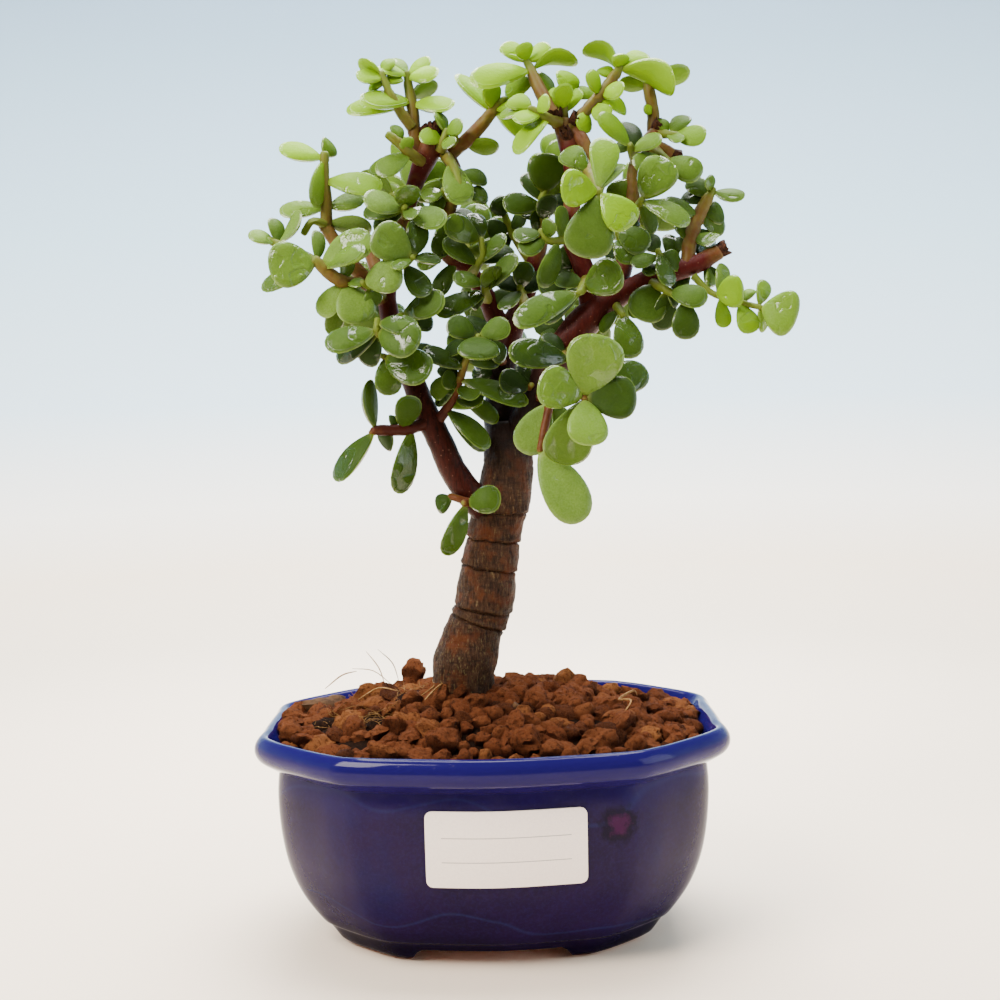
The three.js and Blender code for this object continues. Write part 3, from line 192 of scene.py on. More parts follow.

# Leaves of the crown's shaded inside that start on a limb: foot x, foot z, its depth, tip x, tip z,
# tip depth behind the foot, width, lean and age, whose dark values also paint the shade inside the crown.
EXTRA_LEAVES = {
    "lowTwig": [
        (-7, 197.2, -12, -21.4, 203.7, -3, 8, 40, 0.85), (-8.2, 195.5, -11, -9.2, 210, 8, 8.5, 20, 0.5),
        (-8.6, 194, -11, -18.7, 188.1, 2, 8, 20, 0.6), (-9.4, 191, -12, -14.6, 194.5, -4, 7, 30, 0.8),
        (-12.8, 184, -10, -0.4, 186.7, 0, 7.5, 35, 0.35), (-6.2, 199.5, -11, 5.6, 199.6, 2, 8, 36, 0.9),
        (-8.9, 193, -12, -15.5, 198, 3, 6.5, 30, 0.85), (-9.5, 189, -11, 4.5, 178.5, 6, 7, 30, 0.7),
    ],
    "veil": [
        (28.6, 209.5, -6, 18.3, 213.8, 4, 10, 10, 0.95), (26.4, 204.4, -8, 19.9, 208.3, 2, 8, 20, 0.9),
    ],
    "midLeft": [
        (-11, 247.5, 3, -15.5, 235.5, -2, 7.5, 20, 0.8), (-9.3, 233.6, 5, -16.1, 222.2, -2, 7, 30, 0.75),
        (-13.2, 236, 4, -22.1, 231.9, -2, 6.5, 45, 0.5),
    ],
    "stubShoot": [
        (72, 238.5, -15, 68.5, 245.5, 4, 6.5, 30, 0.6), (75.5, 246.5, -12, 84, 242.5, 4, 7, 25, 0.6),
    ],
    "rightSpray": [(77, 230.5, -17, 80.5, 223.5, 3, 6.5, 25, 0.7)],
    "shelfRight": [
        (66, 231.5, -16, 64.8, 241.5, 5, 6.5, 28, 0.8), (50.5, 238, -7, 42.5, 234, 4, 7, 25, 0.85),
        (71.7, 227.8, -14, 65.4, 222.4, 4, 8, 20, 0.8), (51.5, 236.5, -7, 46.5, 229, -1, 7, 25, 0.8),
    ],
    "gloss": [(51.5, 260, -4, 45, 252.5, 4, 9, 14, 0.6)],
    "frontLong": [
        (33, 229.5, -11, 19.5, 223.5, 3, 9, 15, 0.95), (30, 240, -13, 28, 227.5, 4, 8, 12, 0.95),
    ],
    "shade": [(6, 196.5, 5, -4.5, 194.5, 2, 6.5, 35, 0.9)],
    "saddleLow": [
        (18.5, 226, 10, 28.5, 220.5, -4, 7.5, 30, 0.9), (21, 240, 7, 19.5, 251, -3, 7, 20, 0.85),
        (12, 222, 11, 3.5, 220, -3, 7, 20, 0.9),
    ],
    "fall": [(22, 184.5, -22, 28.5, 174.5, 4, 8.5, 15, 0.6)],
}
EXTRA_STEMS = {"lowTwig": [((-9.6, 190.5, -11.5, 1.6), (-7.6, 196, -11.5, 1.4), (-5.2, 202.5, -11, 1.1))]}

# Steps of the plan where the pot has a corner, and how much sharper it is than the smooth line.
PLAN_CORNERS = (2, 10, 14, 22)
CORNER_SHARPNESS = 0.6

# Places on the soil, across and along the pot: patches of bare peat with their radius, and lumps
# that stand out of the heap with their height and width.
PEAT_PATCHES = [(-56, -8, 7), (-50, 28, 7), (-25, 0, 8), (-18, 19, 6), (-37, -20, 5), (-8, 22, 5)]
PEAT_MARGIN = 1.8  # from a patch's radius to the middles of the granules round it
HEAP_LUMPS = [
    (-30.5, 33, 78.5, 11), (-29.5, 33, 84.2, 9.5), (10, 27, 81.5, 6.5), (17, 22, 81.5, 8), (26, 16, 81, 11.5),
    (37, 9, 80.5, 9), (47, 1, 78, 8.5), (20, 28, 80.5, 7), (-42, 24, 79, 7.5), (-44, 10, 79, 8.5),
    (-62, -28, 73.5, 9), (-68, -18, 73.5, 9.5), (-70.5, -7, 74, 9), (-71, 4, 74, 9.5), (-70.5, 13, 74, 8.5),
]
STONE = (-62, 17, 75.3)
STONE_WIDTH = 12
PEBBLES = [(-20.6, 11.1, 83.6, 3.6), (8, -20.3, 82, 4.2)]
MOUND_WIDTH = 2.3  # of a mound of peat, next to its patch's radius
MOUND_BELOW = 0.5  # how far its middle is under the soil's surface
MOUND_HEIGHT = 0.35  # next to its width

# Seeds of the random numbers for the soil, the cut ends and the leaves.
SOIL_SEED, STUB_SEED, LEAF_SEED = 811, 5, 97

LUMP_KINDS, LARGE_LUMP_KINDS = 12, 6
GRANULE_LAYER = 2.4  # from the upper layer of granules to the one that fills its gaps
ANY_TURN = 6.3  # radians, a little over a full turn
GRANULE_WAVER = 1.2  # how far a granule lies above or below its layer
GRANULE_FINENESS = 1.7  # 1 gives as many coarse granules as fine ones, more makes most of them fine
COARSE_GRANULE = 4.0  # a wider half width gets more corners
FILLING_BELOW = 1.5  # from the granules' middles down to the filling under them
FILLING_SHARES = (0.85, 0.7, 0.55, 0.4, 0.25, 0.12)  # where the filling's rings are, towards the middle
FILLING_FLOOR = [(8, 14.3), (30, 14.3)]
FILLING_RIM = [(50.7, 66.5), (53.3, 69.5)]

# A lump of clay: the number of its flat breaks, how far they are from its middle, how much each one
# takes off, and the swellings of its skin with the height and the fineness of each.
LUMP_BREAKS = 7
LUMP_BREAK_AT = (0.64, 0.93)
LUMP_BREAK_SHARE = 0.8
LUMP_SIZE = 1.04
LUMP_SWELLINGS = [(0.2, 1.3), (0.16, 2.7), (0.2, 5.0)]

# Dry straws on the soil: places on each one's middle line, and its radius.
STRAWS = [
    ((-22.5, -20.3, 85.5), (-18, -10, 88), (-12.3, 0.3, 88.4), 0.42),
    ((-24, -16, 86), (-20, -8, 87.5), (-21, 2, 87.5), 0.3),
    ((-62.2, 24, 80.5), (-56, 26, 85), (-50.7, 28.2, 86), 0.32),
    ((-40.4, 30, 80), (-43, 34, 86), (-48.2, 38.8, 91.5), 0.22),
    ((-35.9, 38, 80), (-38, 37, 87), (-43.1, 33.7, 93), 0.22),
    ((-38, 31, 80), (-45, 33, 85), (-53, 33, 86), 0.2),
    ((42.4, -29.5, 80), (47, -22, 84), (43.5, -15, 83), (49, -9, 84.5), (50.7, -5.2, 82), 0.4),
    ((-47, -2, 82), (-40, 0, 85.5), (-33, -3, 85), 0.3),
]
ROOTLETS = 150
ROOTLET_KINDS = 5
ROOTLET_RADIUS = 0.11
ROOTLET_SPREAD = 0.6  # from the middle of a patch of peat, next to its radius
ROOTLET_BRIM = 0.93  # share of the way to the rim from where on the rootlets lie level

# Cut ends of twigs: x, z and depth as for the limbs, the way each one looks, and its radius.
STUBS = [
    (-17.6, 278.6, 2, (-0.5, -0.3, 1), 2.4), (-12.6, 278.2, 3, (0.8, -0.3, 0.8), 2.3),
    (-15.2, 279.6, 0, (0.1, -0.5, 1), 2.1), (26.5, 283.3, -10, (-0.3, -0.6, 1), 2.4),
    (33.4, 281, -11, (0.6, -0.5, 0.8), 2.3), (29.8, 276.3, -13, (-0.5, -0.6, 0.8), 2.0),
    (67.5, 267.8, -4, (1, -0.2, -0.4), 2.3), (61.5, 278.3, -4, (0.5, -0.6, 0.6), 2.2),
    (83, 236, -18, (1, -0.2, 0.6), 2.6),
]

# Rings of a cut end, out from the twig: share of its radius, height and how ragged the ring is.
STUB_PROFILE = [
    (0.9, -2.0, 0), (1.0, -0.6, 0.2), (1.04, 0.5, 1.9), (0.8, 0.5, 1.9), (0.66, -0.4, 0.5), (0.3, -0.7, 0.3),
]
STUB_SIDES = 14

# Each limb is a line of (x, z, depth, radius).
LIMBS = {
    "trunk": [
        (-10.5, 62, 0, 9.5), (-10, 88, 0, 10.9), (-8.5, 96, 0, 11.1), (-5.8, 105.5, 0, 10.2),
        (-3.6, 110, 0, 9.9), (-1.6, 117, 0, 10.3), (-0.3, 125, 0, 10), (0.9, 132, 0, 9.9),
        (1.8, 138.5, 0, 9.4), (3.4, 145, 0, 9.5), (5.6, 152, 0, 9.6), (7.2, 160, 0, 9),
        (7.4, 169, 0, 8.1), (7, 177, 1, 7),
    ],
    "leader": [
        (6.6, 168, 1, 7), (5.4, 182, 4, 5.9), (6.2, 195, 8, 5), (9, 208, 11, 4.4), (14, 220, 12, 3.6),
        (18, 232, 10, 3.1), (21, 241, 8, 2.4),
    ],
    "middle": [
        (8.5, 206, 10, 3.6), (4, 215, 10, 3.5), (0, 224, 9, 3.2), (-6, 232, 7, 3), (-12, 237, 5, 2.8),
        (-12.2, 246, 4, 2.6), (-9.5, 256, 4, 2.4), (-8.5, 265, 4, 2.3), (-12, 271, 4, 2.4),
    ],
    "right": [
        (10, 168, 0, 6.4), (17, 184, -5, 6.2), (25, 199, -9, 5.9), (34, 211, -12, 5.7), (42, 218, -13, 5),
        (47, 221, -13, 4.2),
    ],
    "rightArm": [
        (44, 219, -13, 4), (55, 225, -14, 3.7), (65, 228.5, -16, 3.6), (74, 231, -17, 3.3),
        (81.5, 235, -18, 2.7),
    ],
    "rightRiser": [
        (45, 219, -12, 3.6), (50, 235, -7, 3), (52.3, 250, -4, 2.6), (52.8, 262, -3, 2.4),
        (56, 270, -3, 2.8), (60.5, 275.5, -3, 2.7),
    ],
    "rightStub": [(57, 272, -3, 2.6), (62, 270.5, -4, 2.4), (66.5, 268.3, -4, 2)],
    "crownRiser": [
        (38, 214, -12, 4.4), (35.5, 229, -12, 3.6), (31, 241, -14, 3.2), (31.4, 252, -14, 3),
        (32, 263, -12, 3), (31, 272, -10, 3.7), (28.5, 280, -9, 3),
    ],
    "crownStub": [(31.5, 277.5, -9, 2.7), (35.5, 273.5, -12, 2.6), (39.3, 264.8, -14, 1.5)],
    "left": [
        (1, 146, -2, 5.4), (-6, 153.5, -5, 5.1), (-11.8, 162, -6, 4.8), (-15.5, 171, -7, 4.5),
        (-20, 180.5, -7, 4.4), (-24, 190.5, -5, 4.1), (-28.5, 203, -2, 3.8), (-32.5, 217, 0, 3.4),
        (-33, 226, 1, 3.1),
    ],
    "leftArm": [(-33, 220, 0, 2.9), (-41, 229, -2, 2.7), (-48, 238, -3, 2.4), (-54, 247.5, -3, 2.2)],
    "leftTwig": [(-34, 226, 1, 2.5), (-38.3, 237, 6, 2.3), (-41.5, 245, 11, 1.6)],
    "leftRiser": [
        (-33, 223, 1, 2.9), (-29.5, 236, 2, 2.8), (-26.5, 248, 4, 2.8), (-22.5, 260, 4, 2.9),
        (-18.6, 269, 4, 3.9), (-15.3, 274.5, 4, 4.7),
    ],
}

# Each shoot has one or more green stems, laid out as limbs are, and its leaves. A leaf is
# (foot x, foot z, tip x, tip z, tip depth behind the foot, width, lean, arch). It grows from
# the nearest point of the shoot's stems. Lean turns the blade about its length: 0 faces the
# viewpoint, up to 90 shows its edge, more of its upper face for a positive lean and of its
# underside for a negative one. Arch is how far the middle rises above the line to the tip.
SHOOTS = {
    "trefoil": ([((33, 270, -13, 2.3), (37.5, 263.5, -23, 2.1), (40.7, 256.3, -33, 1.6))], [
        (40.5, 255.8, 35.3, 234, -3, 16.5, 8, 1), (40.4, 256, 27.6, 258.4, -6, 12.5, 12, 1),
        (40.9, 255.8, 51.6, 244.2, -3, 12.5, 18, 1), (40.9, 256.6, 43.6, 274.6, 7, 10.5, 10, 1),
        (38, 262.5, 29, 270.8, 6, 9, 20, 1), (40.8, 256.5, 48.7, 265.8, 9, 7, 40, 1),
    ]),
    "cross": ([
        ((29, 204, -12, 1.7), (30.8, 197, -26, 1.4), (33, 189.5, -38, 1.3), (34.5, 185.6, -43, 1.3)),
    ], [
        (34.2, 186, 18.6, 191.8, -5, 14.5, 12, 1), (34.8, 185.2, 35.7, 169.2, -9, 14, 15, 1),
        (35, 185.4, 52.8, 185.6, -2, 15, 12, 1), (34.9, 186, 40.6, 207.6, -5, 19.5, 8, 1),
        (34.2, 187.2, 56.6, 195, 8, 12, 15, 1), (34.2, 185.4, 25.6, 163, 8, 17, 10, 1),
    ]),
    "fall": ([
        ((18, 187, -8, 1.8), (22, 184.5, -22, 1.6), (20.5, 176, -28, 1.5), (18.8, 168.5, -30, 1.3)),
    ], [
        (22, 184.5, 13.2, 167, -3, 12.5, 10, 1), (18.8, 168, 32.6, 142.6, -6, 15.5, 12, 1.5),
    ]),
    "frontLong": ([((36, 227, -13, 2), (34.6, 223.6, -24, 1.7), (33.5, 222.3, -31, 1.3))], [
        (33.6, 222.4, 10.8, 211.6, -8, 10.5, 28, 2), (34.6, 223.5, 48.4, 229.4, -6, 12.5, 12, 1),
        (35, 225, 25.3, 227.6, 5, 7, 30), (34.8, 224.5, 20.5, 212.5, 6, 8, 30),
    ]),
    "frontRight": ([
        ((58, 225.5, -15, 2), (61.5, 223.5, -22, 1.6), (66, 221, -25, 1.4), (70, 219, -26, 1.1)),
    ], [
        (59.6, 225, 54.6, 212, -7, 13, 12, 1.5), (64, 221.8, 77.4, 218.2, -6, 9.5, 35, 1),
        (70, 219, 69.8, 205.2, -2, 9.5, 12, 1), (63, 222.5, 61.8, 208.4, 4, 9.5, 25, 1),
        (59, 225, 51.6, 213, -3, 7, 30), (63.5, 222.5, 67.4, 216.8, 3, 5.5, 50),
    ]),
    "rightSpray": ([
        ((73, 227, -19, 1.4), (77.5, 222.3, -21, 1.2), (82, 219.8, -23, 1.1), (90, 217.3, -25, 1.1),
         (95.8, 215.8, -27, 1)),
    ], [
        (95.8, 215.8, 108.8, 212.2, -5, 15.5, 10, 1), (80.5, 220.6, 90.4, 221.8, -7, 11, 8, 1),
        (88.5, 217.6, 93.2, 207, -3, 8, 22, 0.5), (82, 219.6, 83.3, 209, -2, 6, 25, 0.5),
        (95.3, 216, 97.8, 225, 3, 6, 30, 0.5), (81, 220.4, 83.7, 230.8, 4, 6.5, 38, 0.5),
        (77, 222.8, 79.6, 228.2, 6, 6, 40), (90, 217.3, 93.2, 222, 4, 4.5, 30),
        (95.3, 215.8, 97, 207.2, 3, 5, 50),
    ]),
    "underCross": ([((45.5, 218, -14, 1.8), (47.2, 216, -20, 1.5), (48.2, 214.5, -23, 1.2))], [
        (48, 215, 51, 199, -4, 10.5, 22, 1), (47, 216, 40.3, 208.6, 3, 6, 45),
    ]),
    "shelf": ([((49.5, 234, -8, 1.8), (48, 239, -15, 1.5), (46.8, 243.8, -18, 1.2))], [
        (46.8, 240.8, 50.9, 231.4, -6, 9, 28, 1), (47, 243.6, 57.2, 236.3, -3, 10, 24, 1),
        (47, 243.4, 43.6, 250.6, 6, 6.5, 30), (47, 244, 53.5, 247, 6, 7, 30),
    ]),
    "shelfRight": ([((62, 228, -16, 2), (61.6, 231, -20, 1.6), (61, 235.5, -22, 1.2))], [
        (61.2, 235.3, 64.4, 223.6, -5, 7.5, 42, 0.5), (61, 235.2, 55.8, 241.2, 6, 8, 28),
        (61.3, 234, 68.6, 231.4, 4, 8, 36), (61, 234.2, 51.4, 231.4, -2, 7, 42),
        (61.6, 231, 55.8, 228, -2, 5.5, 38),
    ]),
    "gloss": ([((52.5, 248.5, -6, 1.8), (54, 251, -14, 1.5), (55.3, 253.3, -19, 1.2))], [
        (55.3, 253.5, 64.8, 266.8, -1, 13.5, 18, 1), (55.3, 253, 71.6, 244.5, -5, 9, 42, 1.5),
        (54.5, 252, 60, 242, 4, 7, 42),
    ]),
    "stubShoot": ([
        ((70.8, 231, -17, 2.7), (72, 239.5, -15, 2.5), (75, 247.5, -12, 2.4), (78, 253, -11, 2),
         (79.8, 256, -11, 1.3)),
    ], [
        (75, 247.5, 63, 252.3, -4, 7.5, 48, 0.5), (75.8, 248.5, 83.8, 247.8, 5, 8.5, 24, 0.5),
        (79.8, 255.3, 91, 254, -2, 7, 52, -0.5), (78.3, 253.6, 71.8, 259.8, 4, 7.5, 28),
        (79.6, 255.5, 78.2, 260.8, -3, 6, 50), (72.5, 241.5, 81.4, 239.6, -6, 7, 46, -1),
        (77.3, 251.5, 69.8, 255, 6, 6.5, 32), (73, 243, 80.6, 236.8, 6, 6.5, 38),
        (72, 240.5, 64.6, 235.6, 3, 6.5, 42), (72, 239, 77.6, 233.6, 4, 5, 38),
    ]),
    "columnRight": ([((62, 275.8, -4, 1.8), (65, 275.2, -7, 1.4), (67.5, 275, -8, 1.1))], [
        (66, 275.2, 78, 275, -3, 9, 42, -0.5), (66, 275.4, 71, 281.6, 5, 7, 36),
        (64.5, 275.6, 61.8, 280.8, 4, 5.5, 45), (64, 275.2, 69.6, 272.8, -6, 5, 52),
    ]),
    "columnLow": ([((59.5, 271, -5, 2), (62, 268.3, -10, 1.7), (64.5, 266.5, -12, 1.2))], [
        (64, 267, 75.8, 260.6, -4, 10, 26, 1), (62, 268, 53.2, 264.2, -4, 8.5, 26, 0.5),
    ]),
    "columnLeft": ([((53.5, 266, -4, 1.8), (52.3, 269.5, -10, 1.5), (51.8, 271.6, -12, 1.2))], [
        (51.8, 271.2, 41.2, 282.8, -2, 8, 42, 0.5), (52.3, 270, 62.8, 274.2, -4, 7.5, 52, 0.5),
        (52.3, 270.5, 46.6, 272, 5, 6, 30), (52.6, 268, 51, 279.8, 12, 9, 26),
    ]),
    "topRight": ([
        ((60, 276.5, -2, 2.5), (59.7, 283, -1, 2.2), (58.5, 290, -1, 2.1), (57.8, 293.4, -1, 1.5)),
    ], [
        (58, 292.5, 72.6, 295.2, 5, 9, -46, 1.5), (58, 291.5, 48.4, 291.8, 4, 8, -48, 1),
        (57.8, 293, 59.4, 298, -3, 5.5, 36), (59.6, 283, 56.4, 284, -4, 3.5, 20),
    ]),
    "arc": ([
        ((31, 277.5, -10, 2.4), (36.5, 283.5, -9, 2.2), (42, 289, -7, 2.1), (46.5, 294.8, -5, 2),
         (48.5, 297.8, -5, 1.4)),
    ], [
        (48, 297, 35.8, 304, 3, 8.5, -50, 4.5), (48.5, 297.3, 67.4, 290.2, -6, 11, -36, 5),
        (41.5, 288.8, 37.8, 297.2, -4, 7, 52), (42, 289.2, 50, 290.6, -6, 7.5, 46, 0.5),
        (48.3, 297.5, 48.8, 302.8, -2, 7.5, 40), (48.3, 297.5, 58, 302.4, 4, 8, 44, 1),
        (46.3, 294.5, 42.2, 298.2, 4, 6, 36), (40.5, 287.5, 50.8, 283.2, 4, 7, 48, 1.5),
        (39.5, 286.5, 44, 281, -5, 7, 20), (37, 284, 35.2, 276.8, -4, 6.5, 28),
    ]),
    "fan": ([((29.3, 279, -8, 2.2), (29, 284, -9, 1.8), (30, 289.5, -8, 1.3))], [
        (28.9, 284.2, 28.6, 293, -6, 8, 26, 0.5), (30, 289.5, 31, 297.2, 3, 9, 26),
        (29.2, 283, 33.6, 291.8, 3, 8, 28), (30, 289, 39.8, 290, 5, 6.5, 42),
        (29.6, 287, 24.6, 291.2, 4, 5, 30),
    ]),
    "high": ([
        ((27.5, 279.5, -9, 2.7), (23, 287.5, -6, 2.5), (19.6, 294.5, -3, 2.2), (18, 298.5, -2, 1.6),
         (16.7, 300.8, -2, 1.2)),
    ], [
        (18.3, 297.5, -2.4, 294, -9, 10.5, 45, 1.5), (18.5, 297.8, 34.4, 299.6, 3, 9, -54, 4.5),
        (16.8, 300, 8.8, 306.9, 3, 7.5, 40, 0.5), (16.8, 300.3, 23.8, 307, 2, 8, 45, -1),
        (16.8, 300.3, 15.4, 307, -3, 7, 25), (19.5, 294.5, 9.1, 290.8, 7, 9, 32, 0.5),
        (23.2, 287, 23.2, 296.6, 10, 7.5, 36),
    ]),
    "calyx": ([
        ((27.5, 280, -11, 2.1), (24, 281.3, -14, 1.8), (20.5, 283.5, -15, 1.5), (18.4, 284.8, -15, 1.2)),
    ], [
        (24.3, 280.8, 12.4, 269.6, -5, 8, 48, 2.5), (18.5, 284.8, 10.6, 288.4, 5, 8, 36),
        (20, 284.3, 24.6, 287.8, -5, 6.5, 42), (21.5, 282.8, 12, 281, -4, 7.5, 54),
        (22, 281.8, 18.4, 277, 4, 5.5, 38), (18.6, 284.6, 7, 283, 5, 7, 60),
    ]),
    "fork": ([
        ((-10.5, 270, 3, 2.6), (-4, 275, 2, 2.5), (2, 281, 2, 2.3), (5.5, 285, 2, 1.9), (8.8, 288, 2, 1.4)),
        ((-8.5, 271.8, 2, 1.7), (-8.4, 277.6, 0, 1.4)),
    ], [
        (3.5, 284.5, -7, 297.2, 3, 8.5, 58, 0.5), (5, 285, 4.2, 293.8, -4, 8.5, 44, 0.5),
        (5.8, 283.8, 17.7, 275.6, 2, 9.5, 48, 1), (-4.5, 273.5, 6.6, 271.4, 4, 8.5, -48, 0.5),
        (6, 284.5, 14, 285.3, -4, 6, 58),
    ]),
    "hanging": ([
        ((-11.4, 269.8, 2, 2.1), (-8.6, 265.5, -5, 1.6), (-6.8, 260, -7, 1.4), (-5.6, 256.5, -7, 1.1)),
    ], [
        (-10, 267.5, -6.2, 252.8, -9, 10, 12, 1), (-6.5, 264, 2.6, 261.2, 4, 7.5, 48, 0.5),
        (-5.8, 257, 2.8, 255.3, 3, 7.5, 42, 0.5),
    ]),
    "crownMid": ([((-13.5, 271.5, 0, 1.9), (-12, 275, -2, 1.6), (-11.2, 277.8, -2, 1.2))], [
        (-11.2, 277.2, -14, 284.8, 2, 6.5, 58), (-11.2, 277, -5.3, 280.4, -3, 7.5, 50),
        (-12.6, 274.5, -20.2, 277.6, 0, 7, 34), (-12.2, 275, -9, 273.2, -7, 5.5, 20),
    ]),
    "crownLeft": ([
        ((-20, 268.5, 4, 2.9), (-22, 277, 4, 2.4), (-22.3, 285, 5, 2.1), (-23.6, 293, 6, 1.7),
         (-24, 297.4, 6, 1.2)),
    ], [
        (-22.6, 288, -40, 288.7, -12, 9.5, 55, 0.5), (-22.6, 287.3, -45.2, 285.4, -3, 9.5, 56, 1),
        (-21.8, 287.3, -8.2, 286.5, -5, 9.5, 56, 0.5), (-23, 289.8, -13.8, 292, 8, 8.5, -48, 1.5),
        (-24, 297, -33.8, 299.4, -5, 7.5, 64), (-24, 297, -16.6, 303.2, 2, 7.5, 56, -0.5),
        (-24, 297, -29.8, 302.8, 5, 7.5, 48), (-23.9, 296.2, -13.3, 297.2, -5, 8.5, 58, 0.5),
    ]),
    "crownTip": ([
        ((-22.8, 279.5, 3, 2), (-27, 285.5, 1, 1.8), (-30, 291, 0, 1.6), (-32.5, 297.6, 0, 1.2)),
    ], [
        (-32.2, 296, -41.5, 297.1, -3, 7.5, 56), (-32.5, 297.4, -40.8, 301.2, 2, 7.5, -56, 0.5),
        (-31.6, 294.6, -37.2, 293.4, 4, 6.5, 55), (-31, 294.6, -26.4, 296.7, 5, 5.5, 38),
        (-32.5, 297.5, -28.8, 302.8, 3, 6, 44),
    ]),
    "crownLow": ([
        ((-20, 268, 1, 2.2), (-24, 271, -4, 1.9), (-27.5, 274.5, -6, 1.8), (-30.8, 277, -7, 1.5)),
    ], [
        (-23.4, 270.6, -35, 263.8, -5, 8.5, 32, 1), (-24, 271, -38.2, 264.4, 3, 6.5, 46),
        (-24, 271.2, -25.4, 276.2, -3, 5.5, 20), (-27, 274.5, -28.6, 280.6, 3, 5, 25),
    ]),
    "leftRosette": ([((-26, 250, 0, 1.9), (-26.2, 251.5, -9, 1.6), (-26, 252.6, -14, 1.2))], [
        (-26.3, 252, -40.2, 255.8, -5, 10, 42, 0.5), (-26, 252, -24.6, 260.2, -5, 9.5, 22),
        (-25.6, 251.5, -12.2, 247, -6, 10, 40, 0.5), (-26, 251.5, -40.4, 251.4, 3, 8.5, 42, 0.5),
        (-26.2, 251.5, -37.2, 246.4, 7, 8, 36), (-26, 252, -22.8, 249, -7, 5, 25),
    ]),
    "leftArch": ([((-24, 257, 5, 1.9), (-27.5, 256.6, 9, 1.5), (-30, 256.8, 10, 1.2))], [
        (-29.5, 256.6, -42.2, 263.4, -1, 9, -42, 2.5), (-29, 256.6, -34.5, 250, 5, 7, 30),
    ]),
    "leftHigh": ([
        ((-53.3, 245, -3, 2.2), (-53, 255, -3, 2.1), (-53.5, 264, -3, 1.9), (-53, 271, -3, 1.6)),
        ((-53.6, 247.5, -4, 1.6), (-58, 248.6, -7, 1.3), (-60.8, 245, -7, 1.3)),
    ], [
        (-53.3, 262, -33.6, 259.3, -4, 10.5, 43, 1), (-53.5, 270, -68.6, 273.8, -3, 9.5, 52),
        (-53.4, 269.6, -57.4, 253.6, -5, 9, 46, 0.5), (-53, 253.3, -69.3, 252, -3, 8.5, 50, 0.5),
        (-53, 253.5, -40, 257.2, 4, 8.5, 48, -0.5), (-53.2, 270.6, -50.6, 275.4, 5, 7.5, 28),
        (-53.2, 248.5, -37.6, 245, 4, 9.5, -42, 1),
    ]),
    "leftFront": ([
        ((-41.5, 227, -3, 2.3), (-47.5, 227.5, -12, 2.4), (-53, 231, -15, 2.3), (-57.4, 235.3, -16, 1.9)),
        ((-57, 235, -16, 1.5), (-65, 239.5, -13, 1.3), (-70.5, 241.3, -12, 1.4), (-73.6, 242.8, -12, 1.4)),
    ], [
        (-57, 234.6, -73.6, 233.2, -5, 15.5, 14, 1), (-55.5, 234, -37.6, 243, -1, 12.5, 28, 1),
        (-47.3, 227, -42.4, 213.4, -5, 13, 12, 1), (-48, 227, -56.4, 216.2, 0, 9, 30),
        (-48.4, 227.5, -52.8, 209.6, 5, 7.5, 26), (-55, 232.5, -40, 238.8, -5, 8.5, 50),
        (-57, 234.3, -76.4, 226.2, 5, 8, 38), (-56.5, 235, -56, 245.4, 5, 6, 36),
        (-48.5, 228, -45.2, 237.4, 3, 7, 42), (-47, 227.8, -41, 226.6, -5, 5, 56),
        (-70.5, 241.6, -80.2, 244.8, -2, 7, 54), (-70, 241.6, -62.6, 252.7, 3, 6.5, 58, -1.5),
        (-70.5, 241.8, -70.8, 250, 4, 6.5, 34),
    ]),
    "leftPale": ([((-34.8, 222.5, -3, 1.7), (-38.2, 225, -12, 1.4), (-41, 227.2, -17, 1.2))], [
        (-41, 227.2, -27.3, 230, -3, 12, 24, 1), (-39.5, 226, -37.6, 218.8, 3, 8, 28),
    ]),
    "leftRound": ([((-30.2, 233, -1, 1.9), (-27, 233, -12, 1.5), (-24, 235.4, -16, 1.2))], [
        (-24.2, 235.4, -37, 244.8, -4, 13.5, 12, 1), (-26.4, 233.2, -19.6, 222, -3, 9, 26, 0.5),
        (-24, 235.6, -21, 248.2, 5, 9, 28), (-24, 235, -30.4, 231.6, -8, 5.5, 50),
        (-24, 235, -14, 234.6, 3, 6.5, 56),
    ]),
    "midLeft": ([((-30.5, 213.8, -4, 1.7), (-28.3, 215.6, -10, 1.3))], [
        (-28.4, 215.6, -13, 221.5, -5, 10.5, 32, 0.5), (-28.4, 215.2, -17.2, 212.8, 4, 9, 38),
    ]),
    "limbFront": ([
        ((-29, 204, -6, 2), (-32, 206.5, -16, 1.7), (-36.5, 210, -22, 1.4), (-36.6, 214, -22, 1.2)),
    ], [
        (-36.2, 210.6, -22.4, 205.4, -8, 13.5, 18, 1), (-36.5, 213.6, -22.8, 210.6, -4, 9.5, 42, 1),
        (-36.5, 211, -55, 205.8, -3, 10.5, 36, 0.5), (-36, 209.4, -41.8, 199.2, 3, 9.5, 26),
        (-36.2, 209.8, -51.2, 201, 7, 8, 32),
    ]),
    "limbGloss": ([((-26.5, 197, -6, 2), (-30, 199.5, -14, 1.6), (-34.8, 201.8, -19, 1.2))], [
        (-34.6, 201.6, -18.8, 195.2, -9, 13, 18, 1), (-34.2, 201.4, -33.2, 188.2, -1, 10, 22, 0.5),
        (-30.5, 199.8, -17.2, 204.4, 6, 8, 38),
    ]),
    "midRosette": ([((6, 199, 5, 2), (2, 204, -8, 1.6), (-1.8, 207.8, -17, 1.2))], [
        (-1.8, 207.5, -1.9, 200, -11, 14, 4, 0.5), (-1.8, 207.6, -12.5, 213.2, -1, 9, 32),
        (-1.8, 207.6, 9.2, 211.8, -1, 9, 32), (-1.4, 207.2, -2.4, 214.6, 8, 10, 28),
        (-1.2, 207, -14, 202.6, 6, 7, 46), (3.4, 202.6, -3.4, 197.4, 4, 7.5, 46),
        (0, 206, 7.4, 200, 4, 8, 36),
    ]),
    "saddle": ([
